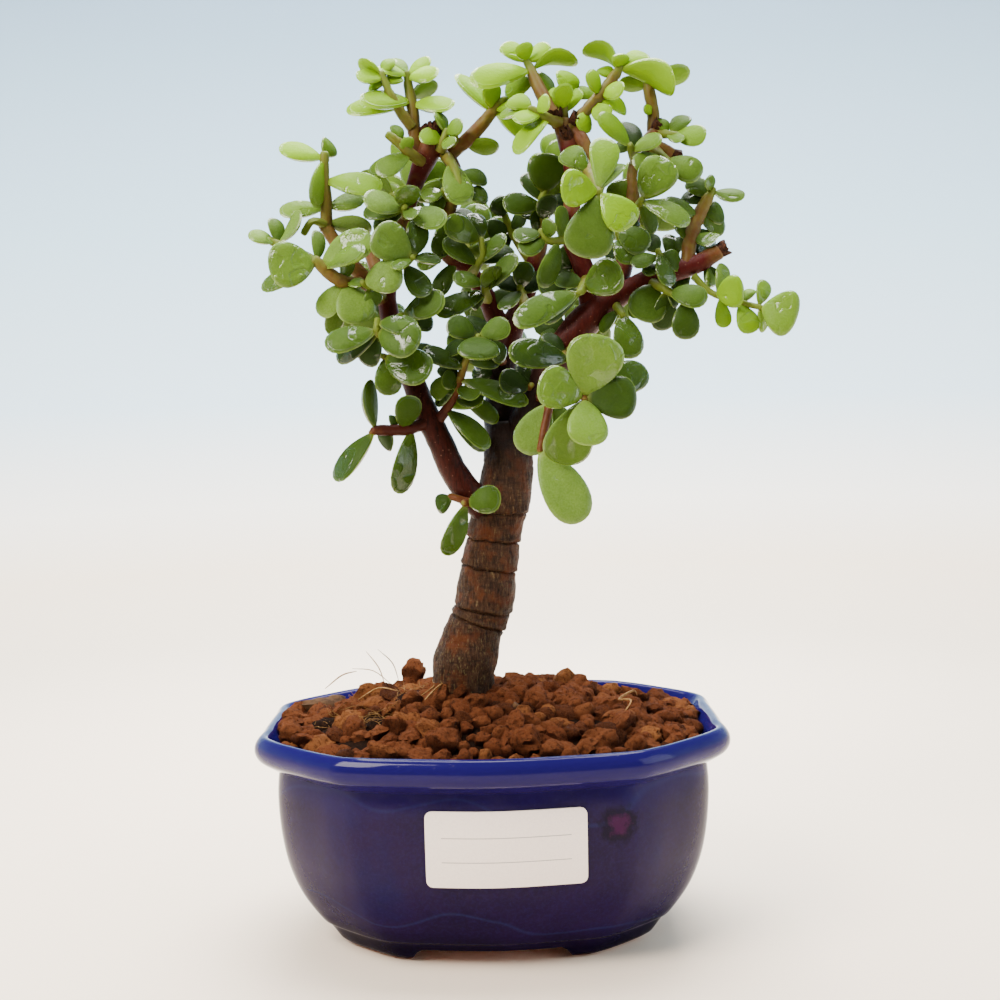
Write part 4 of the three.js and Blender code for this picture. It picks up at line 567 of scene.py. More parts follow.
        ((-3.5, 229.5, 4, 1.9), (-1.3, 232.5, -2, 1.5), (0.5, 236, -4, 1.3), (0, 240.8, -4, 1.2)),
    ], [
        (0, 240.6, -12.6, 247.2, -6, 10, 32, 1), (-1.5, 232.5, -13.4, 241, -5, 8.5, 46, 0.5),
        (-1, 233.4, 8.5, 242.4, -3, 7.5, 46), (-0.8, 233.2, 10.7, 237.8, 5, 8.5, 38),
        (0, 240.6, -2.5, 250.2, 5, 7.5, 28), (0, 240.2, -7.8, 251.8, 11, 7, 28),
    ]),
    "saddleLow": ([((1.6, 220.5, 6, 1.9), (1, 223.5, -3, 1.5), (0.4, 226.4, -5, 1.2))], [
        (1.2, 223.5, 12.4, 235.4, -5, 8, 42, 1), (0.8, 224.2, 4, 232.2, -9, 8, 40),
        (0.4, 226.2, -10.2, 228, -5, 7.5, 46, 0.5), (0.8, 222.5, -16.3, 215.8, -7, 9, 40, 1),
        (1, 223, -4.5, 219, 4, 7, 30),
    ]),
    "midDark": ([((14.4, 219, 9, 2), (13.6, 222, 2, 1.6), (13, 224.4, -2, 1.2))], [
        (13.2, 223.5, 14.5, 233.4, -2, 8.5, 28), (13.2, 223, 5, 228, 3, 7.5, 38),
        (13.4, 223.5, 6.6, 216.8, -8, 7, 50), (13.6, 222.4, 22, 229, 5, 8, 30),
    ]),
    "midRight": ([
        ((29.5, 241, -15, 1.9), (26.5, 240, -19, 1.6), (22.5, 240.5, -21, 1.4), (20.8, 243.2, -21, 1.1)),
    ], [
        (26.6, 239.8, 19.8, 224.6, -6, 8.5, 38, 1.5), (20.8, 243, 11.1, 241.4, -3, 7.5, 48),
        (22.2, 240.4, 13.4, 236.4, -4, 8, 38), (21.8, 241, 24.8, 247, -4, 6.5, 30),
        (27, 240.3, 27.8, 252, -1, 6, 34),
    ]),
    "inner": ([((21, 240, 8, 2.3), (22, 247.5, 4, 1.9), (21, 253.5, 1, 1.5), (22.3, 257, 0, 1.2))], [
        (22.2, 256, 23.4, 269.8, -4, 13, 12, 1), (21.4, 252.5, 7.6, 253, -4, 8.5, 28, 0.5),
        (21.8, 246.6, 23, 256, -8, 8, 28, 0.5), (21.4, 253.5, 15.8, 263.4, 3, 8, 28),
        (22, 247, 14.4, 252, 4, 7.5, 30), (21.6, 250, 31, 256, 6, 8, 34),
    ]),
    "innerLeft": ([
        ((18, 231.5, 10, 2), (13.5, 238.5, 11, 1.7), (10, 244.5, 11, 1.5), (8.4, 248.8, 11, 1.2)),
    ], [
        (8.6, 248.2, 4.8, 255, -3, 7.5, 30), (9.6, 245.4, 2, 243.4, -3, 8, 20),
        (10, 244.6, 15.8, 249.2, -5, 7, 44), (11, 243, 4, 236.5, 5, 8, 32),
    ]),
    "veil": ([((26.5, 202, -12, 1.9), (28.6, 200.4, -22, 1.5), (30, 199.2, -28, 1.2))], [
        (29.6, 199.4, 8.4, 202.2, -7, 11, 26, 1.5), (28, 200.8, 21, 208.6, 5, 6.5, 38),
    ]),
    "shade": ([((15, 186, -4, 2), (16.2, 190.4, -11, 1.3))], [
        (16, 189.8, 5, 193.2, -4, 9.5, 28, 0.5), (16, 190, 13.5, 198.5, 4, 8, 30),
    ]),
    "lowTwig": ([
        ((-17, 178.5, -8, 2), (-13.2, 183.5, -10, 1.8), (-10.6, 188, -11, 1.5), (-8.9, 193.2, -12, 1.2)),
    ], [
        (-8.9, 193, 15, 184.4, -3, 9.5, 42, 1), (-13.4, 183, 0.8, 169.1, -4, 9, 40, 1.5),
        (-13.4, 183, -0.2, 168.6, 5, 8, 34), (-11.4, 186.4, 0.2, 188.4, -3, 8, 52, -2),
        (-9.6, 190.4, -2.2, 187.2, -6, 7, 38), (-9.2, 192.6, -17.2, 184.6, 3, 6.5, 42),
    ]),
    "leftTwigLow": ([
        ((-20.5, 178.5, -9, 2.2), (-28, 176.3, -13, 2.1), (-37.5, 176.3, -16, 1.9),
         (-39.4, 175.6, -16, 1.3)),
    ], [
        (-38.6, 175.9, -53, 159, -3, 10, 46, 1), (-38.4, 176.2, -39.7, 194, -1, 9.5, 60, -1),
        (-25.5, 177, -31.2, 154, -4, 10, 38, 1), (-29, 176.5, -25.7, 188.2, -4, 9.5, 22, 0.5),
        (-33, 176, -36, 170.6, 6, 8, 28), (-32.5, 176.5, -32.4, 181.5, 3, 4, 40),
    ]),
    "trunkPair": ([
        ((-3, 150.5, -10, 1.8), (-7.8, 150.3, -15, 1.4)),
        ((-6.4, 150.4, -14, 1.5), (-12.6, 152.6, -10, 1.2)),
    ], [
        (-7.4, 150.4, 4.8, 151.6, -4, 10, 16, 1), (-7.4, 150, -15.3, 132, -2, 9.5, 42, 1),
        (-12.2, 152.6, -18, 148.8, 2, 7.5, 30),
    ]),
    "midTop": ([((-10.4, 254.5, 3, 1.7), (-12.4, 258, 0, 1.2))], [
        (-12.2, 257.8, -20, 255.6, -3, 7, 46), (-11.4, 256.4, -17, 250.5, 4, 7, 34),
    ]),
}

# Shoots at the back of the crown: the limb and the share of its length where each starts, the
# way it aims, its length and its pairs of leaves. Each pair stands crosswise to the last.
BACK_SHOOTS = {
    "backLow": ("leader", 0.45, (-0.3, 1, 0.25), 26, 4),
    "backLeft": ("left", 0.82, (-0.35, 1, 0.2), 28, 4),
    "backCrownLeft": ("leftRiser", 0.55, (0.1, 1, 0.45), 26, 4),
    "backMiddle": ("middle", 0.45, (0.3, 1, 0.35), 30, 5),
    "backRight": ("right", 0.8, (0.25, 1, 0.15), 34, 5),
    "backCrown": ("crownRiser", 0.62, (0.05, 1, 0.3), 32, 4),
    "backRiser": ("rightRiser", 0.45, (0.3, 1, 0.2), 28, 4),
}

# ---------------------------------------------------------------- colours


def linear(code):
    """The linear colour of an sRGB hex value."""
    channels = [int(code[i:i + 2], 16) / 255 for i in (1, 3, 5)]
    return [c / 12.92 if c <= 0.04045 else ((c + 0.055) / 1.055) ** 2.4 for c in channels] + [1.0]


def colour_property(name, description, code):
    """A colour that the user may change."""
    return bpy.props.FloatVectorProperty(
        name=name, description=description, default=linear(code), size=4, min=0.0, max=1.0, subtype="COLOR",
    )


class BonsaiPotSettings(bpy.types.PropertyGroup):
    """Colours of the pot and its label."""
    glaze: colour_property("Glaze", "Deep blue glaze on the pot's wall", "#150A28")
    glaze_rim: colour_property("Rim glaze", "Brighter blue where the glaze is thin on the lip", "#160D4A")
    clay: colour_property("Clay", "Bare fired clay under the feet", "#8E4E2A")
    paper: colour_property("Paper", "Face of the paper label", "#FFF3EA")


class BonsaiSoilSettings(bpy.types.PropertyGroup):
    """Sizes and colours of the soil."""
    granules: bpy.props.IntProperty(
        name="Granules", description="Granules that cover the dome of soil", default=600, min=50, max=3000,
    )
    largest: bpy.props.FloatProperty(
        name="Largest granule", description="Width of the coarsest granules", default=0.0122, unit="LENGTH",
    )
    smallest: bpy.props.FloatProperty(
        name="Smallest granule", description="Width of the finest granules", default=0.005, unit="LENGTH",
    )
    colour: colour_property("Granules", "Moist red-brown baked clay", "#6A3920")
    peat: colour_property("Peat", "Dark fibrous peat between the granules", "#1A0F09")


class BonsaiPlantSettings(bpy.types.PropertyGroup):
    """Sizes and colours of the plant."""
    leaf_thickness: bpy.props.FloatProperty(
        name="Leaf thickness", description="Thickness of a leaf at its middle", default=0.003, unit="LENGTH",
    )
    bark: colour_property("Bark", "Old bark of the trunk", "#301D11")
    limb: colour_property("Limb bark", "Mahogany red bark of the limbs", "#300F08")
    stem: colour_property("Stem", "Green-olive skin of this year's stems", "#5E5420")
    leaf_new: colour_property("New leaf", "Yellow-green of leaves just unfolded", "#70960A")
    leaf_old: colour_property("Old leaf", "Deep green of the oldest leaves", "#1B2C0E")


# ---------------------------------------------------------------- places


def place(x, y, z):
    """A point given in millimetres from the middle of the pot's underside, in the frame's metres."""
    return Vector(((x + POT_MIDDLE_X) * MM, y * MM, z * MM))


def deselect():
    """Leaves nothing selected."""
    if bpy.context.object and bpy.context.object.mode != "OBJECT":
        bpy.ops.object.mode_set(mode="OBJECT")
    bpy.ops.object.select_all(action="DESELECT")


# ---------------------------------------------------------------- finishes


def link(node, links):
    """Links a node's sockets, each to an output or to the first live output of another node."""
    for key, source in links.items():
        if isinstance(source, bpy.types.Node):
            source = next(output for output in source.outputs if output.enabled)
        node.id_data.links.new(source, node.inputs[key])


def stop_colour(value):
    """The colour of a ramp's stop, which is given as an sRGB hex value, a plain number or a colour."""
    if isinstance(value, str):
        return linear(value)
    return (value, value, value, 1.0) if isinstance(value, float) else value


def add_node(tree, kind, settings, links):
    """Adds a shader node, fills its properties and sockets, and links its sockets. Hex values are sRGB."""
    node = tree.nodes.new("ShaderNode" + kind)
    for key, value in settings.items():
        if key == "stops":
            ramp = node.color_ramp.elements
            ramp.remove(ramp[1])
            ramp[0].position, ramp[0].color = value[0][0], stop_colour(value[0][1])
            for position, colour in value[1:]:
                ramp.new(position).color = stop_colour(colour)
        elif key in node.bl_rna.properties.keys():
            setattr(node, key, value)
        else:
            node.inputs[key].default_value = linear(value) if isinstance(value, str) else value
    link(node, links)
    return node


def new_finish(name, settings):
    """A material, the function that adds a node to it, its shader and the place on the piece in
    millimetres from the pot's middle."""
    finish = bpy.data.materials.new(name)
    finish.use_nodes = True
    finish.node_tree.nodes.clear()
    add = partial(add_node, finish.node_tree)
    shader = add("BsdfPrincipled", settings, {})
    add("OutputMaterial", {}, {"Surface": shader})
    place_on_piece = add("TexCoord", {}, {}).outputs["Object"]
    in_mm = add(
        "Mapping", {"Scale": (1 / MM, 1 / MM, 1 / MM), "Location": (-POT_MIDDLE_X, 0, 0)},
        {"Vector": place_on_piece},
    )
    return finish, add, shader, in_mm.outputs[0]


def cobalt_glaze(settings):
    """Cobalt stoneware glaze, fired glossy: deep blue, darker low down, brighter where it thins over the lip,
    with pinholes, painted pale reflection lines round the wall, a violet bloom and bare orange clay under the
    feet."""
    finish, add, shader, spot = new_finish("cobalt_glaze", {})
    axes = add("SeparateXYZ", {}, {0: spot})
    clouds = add("TexNoise", {"Scale": 0.035, "Detail": 3.0, "Roughness": 0.55}, {"Vector": spot})
    body = add(
        "ValToRGB", {"stops": [(0.35, settings.glaze), (0.6, "#1A0C30"), (0.8, "#100C38")]}, {0: clouds},
    )
    speckle = add("TexNoise", {"Scale": 0.9, "Detail": 2.0, "Roughness": 0.7}, {"Vector": spot})
    mottle = add("ValToRGB", {"stops": [(0.42, 0.0), (0.75, 0.5)]}, {0: speckle})
    mottled = add("Mix", {"data_type": "RGBA", 7: "#1C1440"}, {0: mottle, 6: body})
    # Pale wavy lines round the wall at even heights: a painted reflection of pale rings, not runs of the
    # glaze.
    slow = add("TexNoise", {"Scale": 0.02, "Detail": 1.0}, {"Vector": spot})
    drift = add("Math", {"operation": "MULTIPLY_ADD", 1: 40.0}, {0: slow, 2: axes.outputs[2]})
    from_reflection = add("Math", {"operation": "PINGPONG", 1: 19.0}, {0: drift})
    run = add("MapRange", {1: 0.9, 2: 0.1, 4: 0.13}, {0: from_reflection})
    reflection_lined = add("Mix", {"data_type": "RGBA", 7: "#263C70"}, {0: run, 6: mottled})
    wavy = add("Math", {"operation": "MULTIPLY_ADD", 1: 5.0}, {0: clouds, 2: axes.outputs[2]})
    lip = add("MapRange", {1: 56.0, 2: 72.0}, {0: wavy})
    thin = add("Mix", {"data_type": "RGBA", 7: settings.glaze_rim}, {0: lip, 6: reflection_lined})
    bloom_at = add("VectorMath", {"operation": "DISTANCE", 1: BLOOM_AT}, {0: spot})
    ragged = add("TexNoise", {"Scale": 0.35, "Detail": 4.0, "Roughness": 0.7}, {"Vector": spot})
    ragged_at = add("Math", {"operation": "MULTIPLY_ADD", 1: 8.0}, {0: ragged, 2: bloom_at})
    pool = add("MapRange", {1: 11.5, 2: 9.0, 4: 0.7}, {0: ragged_at})
    # Darker towards the foot, below the wall's bulge.
    thick = add("MapRange", {1: 17.0, 2: 8.0, 4: 0.75}, {0: wavy})
    deepest = add("Math", {"operation": "MAXIMUM"}, {0: pool, 1: thick})
    deepened = add("Mix", {"data_type": "RGBA", 7: "#060212"}, {0: deepest, 6: thin})
    bloom = add("MapRange", {1: 8.0, 2: 6.2, 4: 0.6}, {0: ragged_at})
    bloomed = add("Mix", {"data_type": "RGBA", 7: "#3E0C3A"}, {0: bloom, 6: deepened})
    ragged_foot = add("Math", {"operation": "MULTIPLY_ADD", 1: 1.2}, {0: ragged, 2: axes.outputs[2]})
    bare = add("MapRange", {1: 1.75, 2: 1.45}, {0: ragged_foot})
    facing = add("NewGeometry", {}, {})
    normal = add("SeparateXYZ", {}, {0: facing.outputs["Normal"]})
    down = add("MapRange", {1: -0.8, 2: -0.95}, {0: normal.outputs[2]})
    low = add("MapRange", {1: 7.0, 2: 6.0}, {0: axes.outputs[2]})
    under = add("Math", {"operation": "MULTIPLY"}, {0: down, 1: low})
    clay = add("Math", {"operation": "MAXIMUM"}, {0: bare, 1: under})
    grain = add("TexNoise", {"Scale": 2.2, "Detail": 3.0}, {"Vector": spot})
    clay_colour = add("Mix", {"data_type": "RGBA", 6: settings.clay, 7: "#6E3A20"}, {0: grain})
    add_colour = add("Mix", {"data_type": "RGBA"}, {0: clay, 6: bloomed, 7: clay_colour})
    gloss = add("MapRange", {3: 0.09, 4: 0.8}, {0: clay})
    thicker = add("MapRange", {1: 16.0, 2: 36.0, 3: 0.01, 4: 0.09}, {0: wavy})
    shine = add("MapRange", {4: 0.13}, {0: lip, 3: thicker})
    pits = add("TexVoronoi", {"Scale": 0.55, "Randomness": 1.0}, {"Vector": spot})
    pit = add("MapRange", {1: 0.12, 2: 0.2}, {0: pits.outputs["Distance"]})
    ripple = add("TexNoise", {"Scale": 0.08, "Detail": 2.0}, {"Vector": spot})
    waves = add("Bump", {"Strength": 0.2, "Distance": 0.0008}, {"Height": ripple})
    pitted = add("Bump", {"Strength": 0.12, "Distance": 0.0002}, {"Height": pit, "Normal": waves})
    link(shader, {
        "Base Color": add_colour, "Roughness": gloss, "Specular IOR Level": shine, "Normal": pitted,
    })
    return finish


def label_paper(settings):
    """Coated label paper: off-white and faintly satin, with two fine ruled lines to write on."""
    finish, add, shader, spot = new_finish("label_paper", {"Roughness": 0.42, "IOR": 1.5})
    axes = add("SeparateXYZ", {}, {0: spot})
    fibres = add("TexNoise", {"Scale": 1.5, "Detail": 4.0}, {"Vector": spot})
    paper = add("Mix", {"data_type": "RGBA", 6: settings.paper, 7: "#EADCD6"}, {0: fibres})
    from_middle = add("Math", {"operation": "SUBTRACT", 1: LABEL_MIDDLE[0]}, {0: axes.outputs[0]})
    sideways = add("Math", {"operation": "ABSOLUTE"}, {0: from_middle})
    in_width = add("Math", {"operation": "LESS_THAN", 1: LABEL_SIZE[0] / 2 - 5}, {0: sideways})
    up = add("Math", {"operation": "SUBTRACT", 1: LABEL_MIDDLE[1]}, {0: axes.outputs[2]})
    from_line = add("Math", {"operation": "PINGPONG", 1: LABEL_LINE_GAP / 2}, {0: up})
    line = add("Math", {"operation": "GREATER_THAN", 1: LABEL_LINE_GAP / 2 - 0.14}, {0: from_line})
    near = add("Math", {"operation": "COMPARE", 1: 0.0, 2: 0.8 * LABEL_LINE_GAP}, {0: up})
    inside = add("Math", {"operation": "MULTIPLY"}, {0: line, 1: in_width})
    ruled = add("Math", {"operation": "MULTIPLY"}, {0: inside, 1: near})
    printed = add("Mix", {"data_type": "RGBA", 7: "#9A9390"}, {0: ruled, 6: paper})
    tooth = add("Bump", {"Strength": 0.15, "Distance": 0.0001}, {"Height": fibres})
    link(shader, {"Base Color": printed, "Normal": tooth})
    return finish


def moulded_mesh():
    """Black moulded polyethylene, dull from handling, with a fine grain."""
    finish, add, shader, spot = new_finish("moulded_polyethylene", {"IOR": 1.5})
    grain = add("TexNoise", {"Scale": 1.6, "Detail": 3.0}, {"Vector": spot})
    shade = add("Mix", {"data_type": "RGBA", 6: "#141414", 7: "#2A2826"}, {0: grain})
    dull = add("MapRange", {3: 0.45, 4: 0.65}, {0: grain})
    rough = add("Bump", {"Strength": 0.2, "Distance": 0.0002}, {"Height": grain})
    link(shader, {"Base Color": shade, "Roughness": dull, "Normal": rough})
    return finish


def baked_clay(settings):
    """Moist baked-clay granules, each its own red-brown, with dark pores and dust, and painted shade on their
    flanks.
    """
    finish, add, shader, spot = new_finish(
        "baked_clay_granules", {"Roughness": 0.9, "Specular IOR Level": 0.05},
    )
    tone = add("Attribute", {"attribute_name": "tone"}, {})
    own = add(
        "ValToRGB",
        {"stops": [(0.0, "#3A1E10"), (0.25, settings.colour), (0.88, "#744226"), (1.0, "#8A552E")]},
        {0: tone.outputs["Fac"]},
    )
    pores = add("TexNoise", {"Scale": 0.7, "Detail": 6.0, "Roughness": 0.78}, {"Vector": spot})
    pore_share = add("ValToRGB", {"stops": [(0.38, 0.75), (0.52, 0.0)]}, {0: pores})
    pitted = add("Mix", {"data_type": "RGBA", 7: "#1C0C05"}, {0: pore_share, 6: own})
    dust = add("TexNoise", {"Scale": 2.6, "Detail": 4.0, "Roughness": 0.7}, {"Vector": spot})
    dust_share = add("ValToRGB", {"stops": [(0.5, 0.0), (0.7, 0.45)]}, {0: dust})
    dusted = add("Mix", {"data_type": "RGBA", 7: "#7A4E30"}, {0: dust_share, 6: pitted})
    # Painted shade: each granule is darker where it faces sideways or down, so that its top looks lit.
    facing = add("NewGeometry", {}, {})
    normal = add("SeparateXYZ", {}, {0: facing.outputs["Normal"]})
    damp = add("MapRange", {1: 0.5, 2: -0.3, 4: 0.8}, {0: normal.outputs[2]})
    flank_shaded = add("Mix", {"data_type": "RGBA", 7: "#2A1209"}, {0: damp, 6: dusted})
    coarse = add("Bump", {"Strength": 1.0, "Distance": 0.002}, {"Height": pores})
    fine = add("Bump", {"Strength": 1.0, "Distance": 0.0006}, {"Height": dust, "Normal": coarse})
    link(shader, {"Base Color": flank_shaded, "Normal": fine})
    return finish


def plain_stuff(name, dark, light, scale, roughness):
    """A dull natural finish that wavers between two shades, for the stones, the straws and the stubs."""
    finish, add, shader, spot = new_finish(name, {"Roughness": roughness, "Specular IOR Level": 0.08})
    cloud = add("TexNoise", {"Scale": scale, "Detail": 4.0, "Roughness": 0.65}, {"Vector": spot})
    shade = add("ValToRGB", {"stops": [(0.35, dark), (0.65, light)]}, {0: cloud})
    rough = add("Bump", {"Strength": 0.5, "Distance": 0.0004}, {"Height": cloud})
    link(shader, {"Base Color": shade, "Normal": rough})
    return finish


def peat(settings):
    """Dark, damp peat fibres packed between the granules."""
    finish, add, shader, spot = new_finish("damp_peat", {"Roughness": 0.9, "Specular IOR Level": 0.03})
    squeezed = add("Mapping", {"Scale": (1.0, 0.25, 1.0), "Rotation": (0, 0, 0.5)}, {"Vector": spot})
    fibres = add("TexNoise", {"Scale": 1.4, "Detail": 5.0, "Roughness": 0.7}, {"Vector": squeezed})
    shade = add(
        "ValToRGB", {"stops": [(0.3, "#0E0805"), (0.55, settings.peat), (0.8, "#442816")]}, {0: fibres},
    )
    rough = add("Bump", {"Strength": 0.9, "Distance": 0.001}, {"Height": fibres})
    link(shader, {"Base Color": shade, "Normal": rough})
    return finish


def bark(settings):
    """Corky bark: grey-brown and fissured on the trunk, mahogany red and smoother on the limbs."""
    finish, add, shader, spot = new_finish("jade_bark", {"Specular IOR Level": 0.1})
    axes = add("SeparateXYZ", {}, {0: spot})
    girth = add("Attribute", {"attribute_name": "girth"}, {})
    upright = add("Mapping", {"Scale": (1.0, 1.0, 0.22)}, {"Vector": spot})
    flat = add("Mapping", {"Scale": (0.25, 0.25, 1.0)}, {"Vector": spot})
    fissures = add(
        "TexNoise", {"Scale": 1.1, "Detail": 5.0, "Roughness": 0.7, "Distortion": 0.5}, {"Vector": upright},
    )
    rings = add("TexNoise", {"Scale": 0.9, "Detail": 3.0, "Roughness": 0.6}, {"Vector": flat})
    patches = add("TexNoise", {"Scale": 0.13, "Detail": 3.0, "Roughness": 0.6}, {"Vector": spot})
    old = add(
        "ValToRGB",
        {"stops": [(0.32, "#0D0705"), (0.46, settings.bark), (0.6, "#402C1C"), (0.76, "#7A6848")]},
        {0: fissures},
    )
    ring_share = add("ValToRGB", {"stops": [(0.3, 0.7), (0.5, 0.0)]}, {0: rings})
    ringed = add("Mix", {"data_type": "RGBA", 7: "#120A07"}, {0: ring_share, 6: old})
    patch_share = add("ValToRGB", {"stops": [(0.5, 0.0), (0.66, 0.6)]}, {0: patches})
    patched = add("Mix", {"data_type": "RGBA", 7: "#562A10"}, {0: patch_share, 6: ringed})
    young = add(
        "ValToRGB", {"stops": [(0.3, "#120604"), (0.5, settings.limb), (0.72, "#3C160E")]}, {0: fissures},
    )
    wine_share = add("MapRange", {1: 196.0, 2: 236.0, 4: 0.6}, {0: axes.outputs[2]})
    wine = add("Mix", {"data_type": "RGBA", 7: "#521614"}, {0: wine_share, 6: young})
    higher = add("MapRange", {1: 168.0, 2: 184.0}, {0: axes.outputs[2]})
    thinner = add("MapRange", {1: 7.4, 2: 6.2}, {0: girth.outputs["Fac"]})
    limb_share = add("Math", {"operation": "MAXIMUM"}, {0: higher, 1: thinner})
    flank = add("TexNoise", {"Scale": 0.2, "Detail": 4.0, "Roughness": 0.7}, {"Vector": spot})
    lower = add("Math", {"operation": "MULTIPLY_ADD", 1: 26.0}, {0: flank, 2: axes.outputs[2]})
    lichen = add("MapRange", {1: 128.0, 2: 108.0, 3: 0.14, 4: 0.55}, {0: lower})
    strokes = add("TexNoise", {"Scale": 2.4, "Detail": 2.0, "Roughness": 0.6}, {"Vector": upright})
    stroke = add("MapRange", {1: 0.6, 2: 0.7}, {0: strokes})
    crust = add("Math", {"operation": "MULTIPLY"}, {0: stroke, 1: lichen})
    greyed = add("Mix", {"data_type": "RGBA", 7: "#746C44"}, {0: crust, 6: patched})
    specks = add("TexVoronoi", {"Scale": 0.5, "Randomness": 1.0}, {"Vector": spot})
    speck = add("MapRange", {1: 0.16, 2: 0.1, 4: 0.5}, {0: specks.outputs["Distance"]})
    dotted = add("Mix", {"data_type": "RGBA", 7: "#6A4A38"}, {0: speck, 6: wine})
    colour = add("Mix", {"data_type": "RGBA"}, {0: limb_share, 6: greyed, 7: dotted})
    youth = add("Math", {"operation": "MULTIPLY_ADD", 1: -1.6}, {0: patches, 2: girth.outputs["Fac"]})
    thin_share = add("MapRange", {1: 2.3, 2: 1.5}, {0: youth})
    topmost = add("MapRange", {1: 269.0, 2: 279.0, 4: 0.95}, {0: axes.outputs[2]})
    twig_share = add("Math", {"operation": "MAXIMUM"}, {0: thin_share, 1: topmost})
    tan = add("ValToRGB", {"stops": [(0.38, "#544A1C"), (0.62, "#6C4A2A")]}, {0: flank})
    twigged = add("Mix", {"data_type": "RGBA"}, {0: twig_share, 6: colour, 7: tan})
    # Painted shade: the trunk's fork under the crown is darkened to near black.
    fork_at = add("VectorMath", {"operation": "DISTANCE", 1: FORK_SHADE_AT}, {0: spot})
    fork = add("MapRange", {1: 30.0, 2: 12.0, 4: 0.9}, {0: fork_at})
    shaded = add("Mix", {"data_type": "RGBA", 7: "#0E0705"}, {0: fork, 6: twigged})
    sheen = add("MapRange", {3: 0.58, 4: 0.42}, {0: limb_share})
    relief = add("MapRange", {3: 0.9, 4: 0.3}, {0: limb_share})
    deep = add("Bump", {"Distance": 0.0008}, {"Strength": relief, "Height": fissures})
    ridged = add("Bump", {"Distance": 0.0005}, {"Strength": relief, "Height": rings, "Normal": deep})
    link(shader, {"Base Color": shaded, "Roughness": sheen, "Normal": ridged})
    return finish


def stem_skin(settings):
    """Smooth green skin of this year's stems, tanned where it starts to turn to wood."""
    finish, add, shader, spot = new_finish("green_stem_skin", {"Roughness": 0.45, "Specular IOR Level": 0.1})
    girth = add("Attribute", {"attribute_name": "girth"}, {})
    blush = add("TexNoise", {"Scale": 0.35, "Detail": 3.0}, {"Vector": spot})
    age = add("Math", {"operation": "MULTIPLY_ADD", 1: 1.2}, {0: blush, 2: girth.outputs["Fac"]})
    axes = add("SeparateXYZ", {}, {0: spot})
    woody = add("MapRange", {1: 212.0, 2: 186.0, 4: 1.5}, {0: axes.outputs[2]})
    older = add("Math", {"operation": "ADD"}, {0: age, 1: woody})
    share = add("MapRange", {1: 2.0, 2: 4.3}, {0: older})
    shade = add(
        "ValToRGB",
        {"stops": [(0.0, "#5C6A22"), (0.3, settings.stem), (0.6, "#543018"), (0.85, "#34140C")]},
        {0: share},
    )
    rough = add("Bump", {"Strength": 0.3, "Distance": 0.0003}, {"Height": blush})
    link(shader, {"Base Color": shade, "Normal": rough})
    return finish


